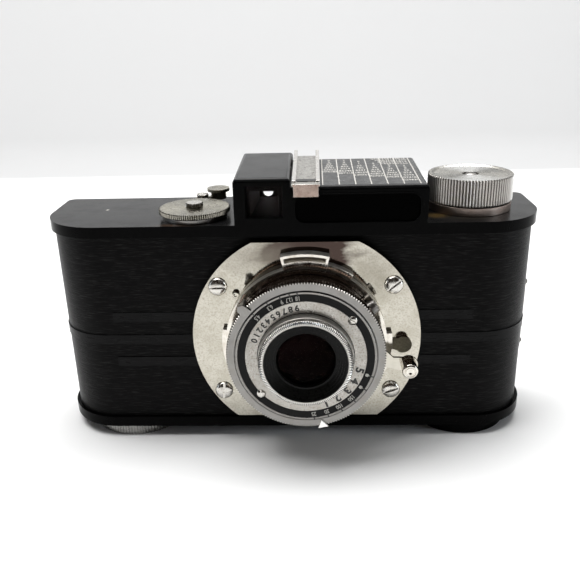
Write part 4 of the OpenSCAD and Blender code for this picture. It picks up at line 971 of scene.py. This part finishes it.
# Lenses
# Uncoated glass with ground edges. The front one bulges and sits in the front cell, with the
# middle one behind it and the rear one in its own cell.
# Painted reflection: the glass and its reflections are tinted reddish brown.
glass = new_material("lens_glass", (0.6, 0.52, 0.51), 0.0, Transmission_Weight=1.0, IOR=1.12,
                     Specular_Tint=(0.2, 0.125, 0.13, 1))
dull(glass, 6, 0.0, 0.02)
GLASS_R = 7.55
GLASS_BACK = 12.62
GLASS_EDGE = 13.6
BULGE = 0.9
DOME_STEPS = 16
ball = (GLASS_R ** 2 + BULGE ** 2) / (2 * BULGE)
dome = [(GLASS_R * i / DOME_STEPS,
         GLASS_EDGE + BULGE - ball + math.sqrt(ball ** 2 - (GLASS_R * i / DOME_STEPS) ** 2))
        for i in range(DOME_STEPS + 1)]
front_lens = turned("front_element", dome + [(GLASS_R, GLASS_BACK), (0, GLASS_BACK)],
                    closed=False)
fitted(front_lens, "front_lens", [glass], TURNED_SHARP)
dress("middle_lens", glass)
dress("rear_lens", glass)

# Release lever and button
# A flat chromed lever comes out of a slot in the case and carries a plain round button at its
# end. The side of each that faces the body is duller, and darker as painted shade.
dull_shaded_back = new_material("unpolished_shaded_back", (0.5, 0.49, 0.46), 0.5, 1)
dull(dull_shaded_back, 1, 0.42, 0.6)


def darken_backs(piece, material):
    """Gives what faces the body its own duller finish, darker as painted shade."""
    piece.data.materials.append(material)
    for face in piece.data.polygons:
        if face.normal.y > 0.5:
            face.material_index = len(piece.data.materials) - 1


darken_backs(softened("release_lever", "release_arm", 0.1, chrome), dull_shaded_back)
BUTTON_RADIUS = 27.2
BUTTON_CLOCK = 100
BUTTON_AT = [c / MM for c in lens_spot(BUTTON_RADIUS, 0, BUTTON_CLOCK).xz]
button = turned("release_cap", [
    (0, 11.98), (0.35, 11.98), (0.5, 12.08), (1.1, 12.14), (1.2, 12.02), (1.35, 12.02),
    (1.45, 12.14), (1.7, 12.1), (1.95, 11.95), (2.05, 11.7), (2.05, 8.2), (1.98, 8.03),
    (0, 8.03)], BUTTON_AT, steps=64, closed=False)
darken_backs(fitted(button, "release_button", [bright_chrome], TURNED_SHARP), dull_shaded_back)

# Finder
# A hollow glass in front, in a stamped black mask, and a small clear glass in a black eyepiece
# behind. The hollow glass bends the light, so that the eyepiece shows through it as a bright spot.
finder_glass = new_material("finder_glass", (1, 1, 1), 0.0, Transmission_Weight=1.0, IOR=1.5,
                            Specular_Tint=(0.06, 0.05, 0.05, 1))
dull(finder_glass, 5, 0.0, 0.015)
MASK_RIM = 0.16
MASK_EDGE = 0.06
low, high = (Vector(c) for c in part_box("finder_mask"))
deselect_everything()
bpy.ops.mesh.primitive_plane_add(size=1, location=(0, 0, 0), rotation=(math.radians(90), 0, 0))
mask = bpy.context.object
mask.name = "mask_frame"
mask.scale = (high.x - low.x, high.z - low.z, 1)
mask.location = ((low.x + high.x) / 2, high.y, (low.z + high.z) / 2)
bpy.ops.object.transform_apply(location=True, rotation=True, scale=True)
bpy.ops.object.mode_set(mode="EDIT")
bpy.ops.mesh.select_all(action="SELECT")
bpy.ops.mesh.inset(thickness=MASK_RIM * MM)
bpy.ops.mesh.delete(type="FACE")
bpy.ops.mesh.select_all(action="SELECT")
bpy.ops.mesh.extrude_region_move(TRANSFORM_OT_translate={"value": (0, low.y - high.y, 0)})
bpy.ops.mesh.select_all(action="SELECT")
bpy.ops.mesh.normals_make_consistent(inside=False)
bpy.ops.object.mode_set(mode="OBJECT")
break_edges(mask, MASK_EDGE, 30, 2)
fitted(mask, "finder_mask", [dead_black])
softened("finder_eyepiece", "finder_eyecup", 0.12, dead_black)
dress("finder_eye_lens", finder_glass)
HOLLOW_R = 26.0
HOLLOW_HALF = 4.1
PANE_CUTS = 31
PANE_SKIN = 0.01
low, high = (Vector(c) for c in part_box("finder_front_lens"))
middle = (low + high) / 2
deselect_everything()
bpy.ops.mesh.primitive_cube_add(size=1, location=middle)
pane = bpy.context.object
pane.name = "hollow_glass"
pane.scale = high - low
bpy.ops.object.transform_apply(location=True, scale=True)
bpy.ops.object.mode_set(mode="EDIT")
bpy.ops.mesh.select_all(action="SELECT")
bpy.ops.mesh.subdivide(number_cuts=PANE_CUTS)
bpy.ops.object.mode_set(mode="OBJECT")
for spot in pane.data.vertices:
    off = math.hypot(spot.co.x - middle.x, spot.co.z - middle.z) / MM
    if spot.co.y < low.y + PANE_SKIN * MM and off < HOLLOW_HALF:
        spot.co.y += (math.sqrt(HOLLOW_R ** 2 - off ** 2)
                      - math.sqrt(HOLLOW_R ** 2 - HOLLOW_HALF ** 2)) * MM
fitted(pane, "finder_front_lens", [finder_glass], 30)

# Extinction meter
# A dead black window in front of a stepped grey wedge, with an eyepiece behind. All three are let
# into the hump beside the finder.
window_black = new_material("window_black", (0.0006, 0.0006, 0.0006), 0.3,
                            Specular_IOR_Level=0.01)
dull(window_black, 4, 0.22, 0.4)
wedge_grey = new_material("wedge_grey", (0.02, 0.02, 0.018), 0.3)
dull(wedge_grey, 2, 0.25, 0.4)
softened("meter_window", "meter_pane", 0.08, window_black)
dress("meter_wedge", wedge_grey)
softened("meter_eyepiece", "meter_eyecup", 0.12, lacquer)

# Printed table
# A thin plate let into the hump, coated grey and printed white: seven rules, a cone of figures
# between each two, and a block of figures at the right rear.
table_grey = new_material("table_grey", (0.034, 0.035, 0.035), 0.33, Specular_IOR_Level=0.3)
dull(table_grey, 2, 0.26, 0.42)
fade(table_grey, 3.5, -0.4, 0.6, (0.062, 0.062, 0.06))
softened("exposure_table", "table_plate", 0.06, table_grey)
SLOPE = 1.6
TABLE_TOP = 72.8
RULES = (8.7, 12.9, 17.05, 21.0, 25.1, 29.2, 33.3)
RULE = (0.3, 29.2)
RULE_MIDDLE = 15.4
CONES = ((10.8, 27.9, 14.6), (15.0, 27.9, 12.7), (19.1, 26.2, 10.5), (23.1, 23.4, 9.2),
         (27.2, 21.4, 7.9), (31.3, 19.9, 4.6))
CONE_ROWS = 7
CONE_FIGURE = 1.6
BLOCK_ROWS = 4
BLOCK_WIDE = 13
BLOCK_FIGURE = 1.5
on_table = Matrix.Translation(Vector((0, FRONT_Y, TABLE_TOP)) * MM) @ \
    Matrix.Rotation(math.radians(SLOPE), 4, "X")


def table_spot(x, y):
    return on_table @ Matrix.Translation(Vector((x, y, INK / 2)) * MM)


table_print = [bar(*RULE, INK, table_spot(x, RULE_MIDDLE)) for x in RULES]
for i, (x, back_y, front_y) in enumerate(CONES):
    for row in range(CONE_ROWS):
        wide = 1 + row * 2 // 3 + (row > 3)
        digits = "".join(str((i * 3 + row * 5 + k * 7) % 10) for k in range(wide))
        spot = table_spot(x, back_y + (front_y - back_y) * row / (CONE_ROWS - 1))
        table_print.append(figures(digits, CONE_FIGURE, spot, 0.62))
for row in range(BLOCK_ROWS):
    digits = "".join(str((row * 7 + k * 3) % 10) for k in range(BLOCK_WIDE - row))
    spot = table_spot(27.7 + 0.4 * row, 29.0 - 2.0 * row)
    table_print.append(figures(digits, BLOCK_FIGURE, spot, 0.72, 0.02))
printed(table_print, "table_print", "exposure_table", print_white)


# Calculator slide
# A strip of chromed sheet folded over the front and the back of the hump, with a rail along each
# side. Near the front a black bar is painted shade where the reading slot is.
def sheet_metal(name, colour, roughness, worn, uneven):
    """Plated sheet, worn in patches and pitted."""
    material = new_material(name, colour, roughness, 1)
    dull(material, 1.4, roughness - 0.08, roughness + 0.1)
    fade(material, 1.1, -0.5, 0.9, worn)
    speckle(material, 0.8, 0.2, 0.3, [c * 0.5 for c in worn])
    relief(material, pattern(material, mottle, 0.3), uneven)
    return material


SLIDE_RAIL = 0.75
SHEET_HIGH = 0.9
LIP_HIGH = 0.2
SLOT_FROM_FRONT = 2.9
SLOT_WIDTH = 2.4
SLOT_SHORT_BY = 0.3
rail_metal = sheet_metal("slide_rail", (0.72, 0.70, 0.67), 0.2, (0.66, 0.63, 0.59), 0.002)
grain_metal = sheet_metal("slide_grain", (0.40, 0.39, 0.365), 0.34, (0.25, 0.235, 0.215), 0.05)
lip_metal = sheet_metal("slide_lip", (0.37, 0.29, 0.25), 0.24, (0.28, 0.205, 0.17), 0.004)
fade(grain_metal, 0.3, -0.7, 0.9, (0.09, 0.088, 0.084))
slide = softened("calculator_slider", "slide_sheet", 0.1, rail_metal, grain_metal, lip_metal)
low, high = (Vector(c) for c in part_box("calculator_slider"))
flat_table = on_table.inverted()
sheet_top = 0
for face in slide.data.polygons:
    laid = flat_table @ face.center
    inside = low.x + SLIDE_RAIL * MM < face.center.x < high.x - SLIDE_RAIL * MM
    if face.normal.z > 0.8 and inside and laid.z < SHEET_HIGH * MM:
        face.material_index = 1
        sheet_top = max(sheet_top, laid.z / MM)
    if face.normal.y < -0.8 and laid.y < 0 and laid.z < LIP_HIGH * MM:
        face.material_index = 2
slot_place = Vector(((low.x + high.x) / 2 / MM, SLOT_FROM_FRONT, sheet_top)) * MM
slot_length = high.x / MM - low.x / MM - 2 * SLIDE_RAIL - SLOT_SHORT_BY
# Painted shade: a black bar lies where the reading slot opens onto the table.
reading_slot_shade = bar(SLOT_WIDTH, slot_length, INK, on_table @ Matrix.Translation(slot_place) @
                   Matrix.Rotation(math.radians(90), 4, "Z"))
printed([reading_slot_shade], "reading_slot_shade", "calculator_slider", print_black)

# Counter, catch and sprocket
# The counter is a thin nickel dial with a milled edge and a milled nut, on the shaft of a brass
# gear. The catch beside it is a short arm with a round thumb piece, on a screw.
UPRIGHT = (0, 0, 0)
COUNTER_AT = (-25.7, FRONT_Y + 10)
COUNTER_CENTRE = (*COUNTER_AT, 0)
COUNTER_AXIS = (COUNTER_CENTRE, UPRIGHT)
DIAL_TEETH = 100
NUT_TEETH = 20
dial_metal = turned_metal("dial_nickel", (0.31, 0.295, 0.245), 0.3, COUNTER_AXIS,
                          (0.21, 0.195, 0.155), 0.6)
brass = new_material("aged_brass", (0.46, 0.36, 0.19), 0.3, 1)
dull(brass, 1.5, 0.22, 0.42)
fade(brass, 2, -0.3, 0.8, (0.30, 0.23, 0.12))
DIAL_RUBS = (((0.14, 2.6, 1), -38, -0.8, 0.9, (0.14, 0.125, 0.09)),
             ((0.2, 1.4, 1), 25, -1.0, 0.8, (0.46, 0.44, 0.38)))
for size, turn, least, most, colour in DIAL_RUBS:
    rub = pattern(dial_metal, mottle, size, COUNTER_CENTRE, (0, 0, turn), Low=least, High=most)
    tint(dial_metal, rub, colour)
softened("counter_bush", "counter_bushing", 0.08, ring_metal)
softened("counter_gear", "counter_wheel", 0.04, brass)
dial = turned_upright("dial_turning", [
    (1.56, 64.1), (9.36, 64.1), (9.54, 64.26), (9.54, 65.22), (9.38, 65.38), (9.1, 65.4),
    (8.7, 65.37), (2.7, 65.35), (2.5, 65.4), (1.56, 65.4)], COUNTER_AT, 2 * DIAL_TEETH)
knurled(dial, COUNTER_AT, True, DIAL_TEETH, 9.3, 9.6, 0.3)
dial_rim = grimed("dial_nickel_rim", dial_metal, DIAL_TEETH, 9.1, COUNTER_AXIS,
                  (0.04, 0.036, 0.03), (0.42, 0.40, 0.35))
fitted(dial, "counter_dial", [dial_rim], TOOTHED_SHARP)
nut = turned_upright("nut_turning", [
    (1.56, 65.44), (2.2, 65.44), (2.35, 65.56), (2.35, 66.4), (2.2, 66.6), (1.5, 66.63),
    (0, 66.6), (0, 66.33), (1.56, 66.33)], COUNTER_AT, 2 * NUT_TEETH, False)
knurled(nut, COUNTER_AT, True, NUT_TEETH, 2.15, 2.4, 0.26)
fitted(nut, "counter_nut", [screw_steel], TOOTHED_SHARP)
softened("catch_lever", "catch_arm", 0.14, dial_metal)
softened("catch_screw", "catch_pivot_screw", 0.08, screw_steel)
softened("sprocket", "sprocket_wheels", 0.06, screw_steel)

# Winding knob and take-up spool
# A flat knob under the body with a milled edge, standing level with the foot, and on its shaft a
# black moulded spool.
WIND_AXIS = ((-46.97, FRONT_Y + 14.4, 0), UPRIGHT)
knob_metal = turned_metal("knob_aluminium", (0.34, 0.335, 0.32), 0.26, WIND_AXIS,
                          (0.40, 0.39, 0.36))
spool_black = new_material("spool_black", (0.02, 0.02, 0.02), 0.5)
dull(spool_black, 2, 0.4, 0.6)
softened("wind_knob", "wind_knob_turning", 0.08, knob_metal)
softened("takeup_spool", "spool_moulding", 0.12, spool_black)

# Rewind knob
# A large aluminium knob with deep upright milling and a turned top, on a smooth collar with a
# pinkish cast. A small screw holds it to the shaft of its fork.
REWIND_AT = (48.6, FRONT_Y + 15.6)
REWIND_AXIS = ((*REWIND_AT, 0), UPRIGHT)
REWIND_TEETH = 86
REWIND_SIDE = 10.9
rewind_metal = turned_metal("rewind_aluminium", (0.26, 0.25, 0.225), 0.25, REWIND_AXIS,
                            (0.23, 0.22, 0.195), 0.8)
# Painted highlight: a bright wedge at the front and the back of the turned top.
sheen = pattern(rewind_metal, grooves, 1, *REWIND_AXIS, Teeth=2.0, Inner=1.5)
tint(rewind_metal, sheen, (0.74, 0.73, 0.70))
collar_metal = turned_metal("collar_nickel", (0.36, 0.295, 0.26), 0.42, REWIND_AXIS,
                            (0.33, 0.25, 0.21), 0.3)
side_metal = new_material("rewind_side", (0.52, 0.495, 0.465), 0.42, 1)
dull(side_metal, 2, 0.38, 0.48)
fade(side_metal, 4, -0.3, 0.8, (0.46, 0.42, 0.385))
softened("rewind_collar", "collar_turning", 0.12, collar_metal)
softened("rewind_sleeve", "sleeve_turning", 0.05, brass)
softened("rewind_fork", "fork_turning", 0.1, screw_steel)
rewind = turned_upright("rewind_knob_turning", [
    (2.26, 65.25), (10.9, 65.25), (11.16, 65.36), (11.3, 65.6), (11.3, 72.0), (11.16, 72.2),
    (10.9, 72.3), (10.3, 72.3), (9.95, 72.14), (9.6, 71.98), (6.4, 71.93), (6.2, 71.98),
    (5.9, 71.98), (5.7, 71.93), (2.35, 71.95), (2.2, 71.9), (2.2, 71.3), (0.86, 71.3),
    (0.86, 70.3), (2.26, 70.3)], REWIND_AT, 2 * REWIND_TEETH)
knurled(rewind, REWIND_AT, True, REWIND_TEETH, 11.1, 11.35, 0.34)
for face in rewind.data.polygons:
    face.material_index = 1 if axis_reach(face.center, REWIND_AT, True) > REWIND_SIDE else 0
rewind_side = grimed("rewind_side_teeth", side_metal, REWIND_TEETH, 10.85, REWIND_AXIS,
                     (0.13, 0.115, 0.105), (0.66, 0.635, 0.60))
fitted(rewind, "rewind_knob", [rewind_metal, rewind_side], TOOTHED_SHARP)
SCREW_SEAT = 71.33
slotted_screws("rewind_screw", "rewind_screw_turning", ring_metal,
               [(0, 0.8), (0.7, 0.77), (1.3, 0.62), (1.58, 0.4), (1.6, 0.1), (1.52, 0),
                (0.8, 0), (0.8, -3.1), (0, -3.1)], (0.4, 0.36), 0.03, 40,
               [Matrix.Translation(Vector((*REWIND_AT, SCREW_SEAT)) * MM)])

# Tripod bush
# A brass bush let into the foot from below, with the thread for a tripod screw cut in it as
# rounded ridges.
TRIPOD_AT = (48.6, FRONT_Y + 14.4)
THREAD_ROOT = 3.17
THREAD_CREST = 2.85
THREAD_PITCH = 1.27
THREAD_TURNS = 4
bush_outline = [(4.2, 0.22), (4.2, 5.6), (0, 5.6), (0, 5.2), (THREAD_CREST, 5.2)]
for i in range(THREAD_TURNS):
    bush_outline += [(THREAD_ROOT, 4.9 - THREAD_PITCH * i),
                     (THREAD_CREST, 4.27 - THREAD_PITCH * i)]
bush_outline[-1:] = [(3.3, 0.3), (3.5, 0.2), (4.1, 0.2), (4.2, 0.22)]
bush = turned_upright("bush_turning", bush_outline, TRIPOD_AT, 64, False)
fitted(bush, "tripod_bush", [brass], TURNED_SHARP)
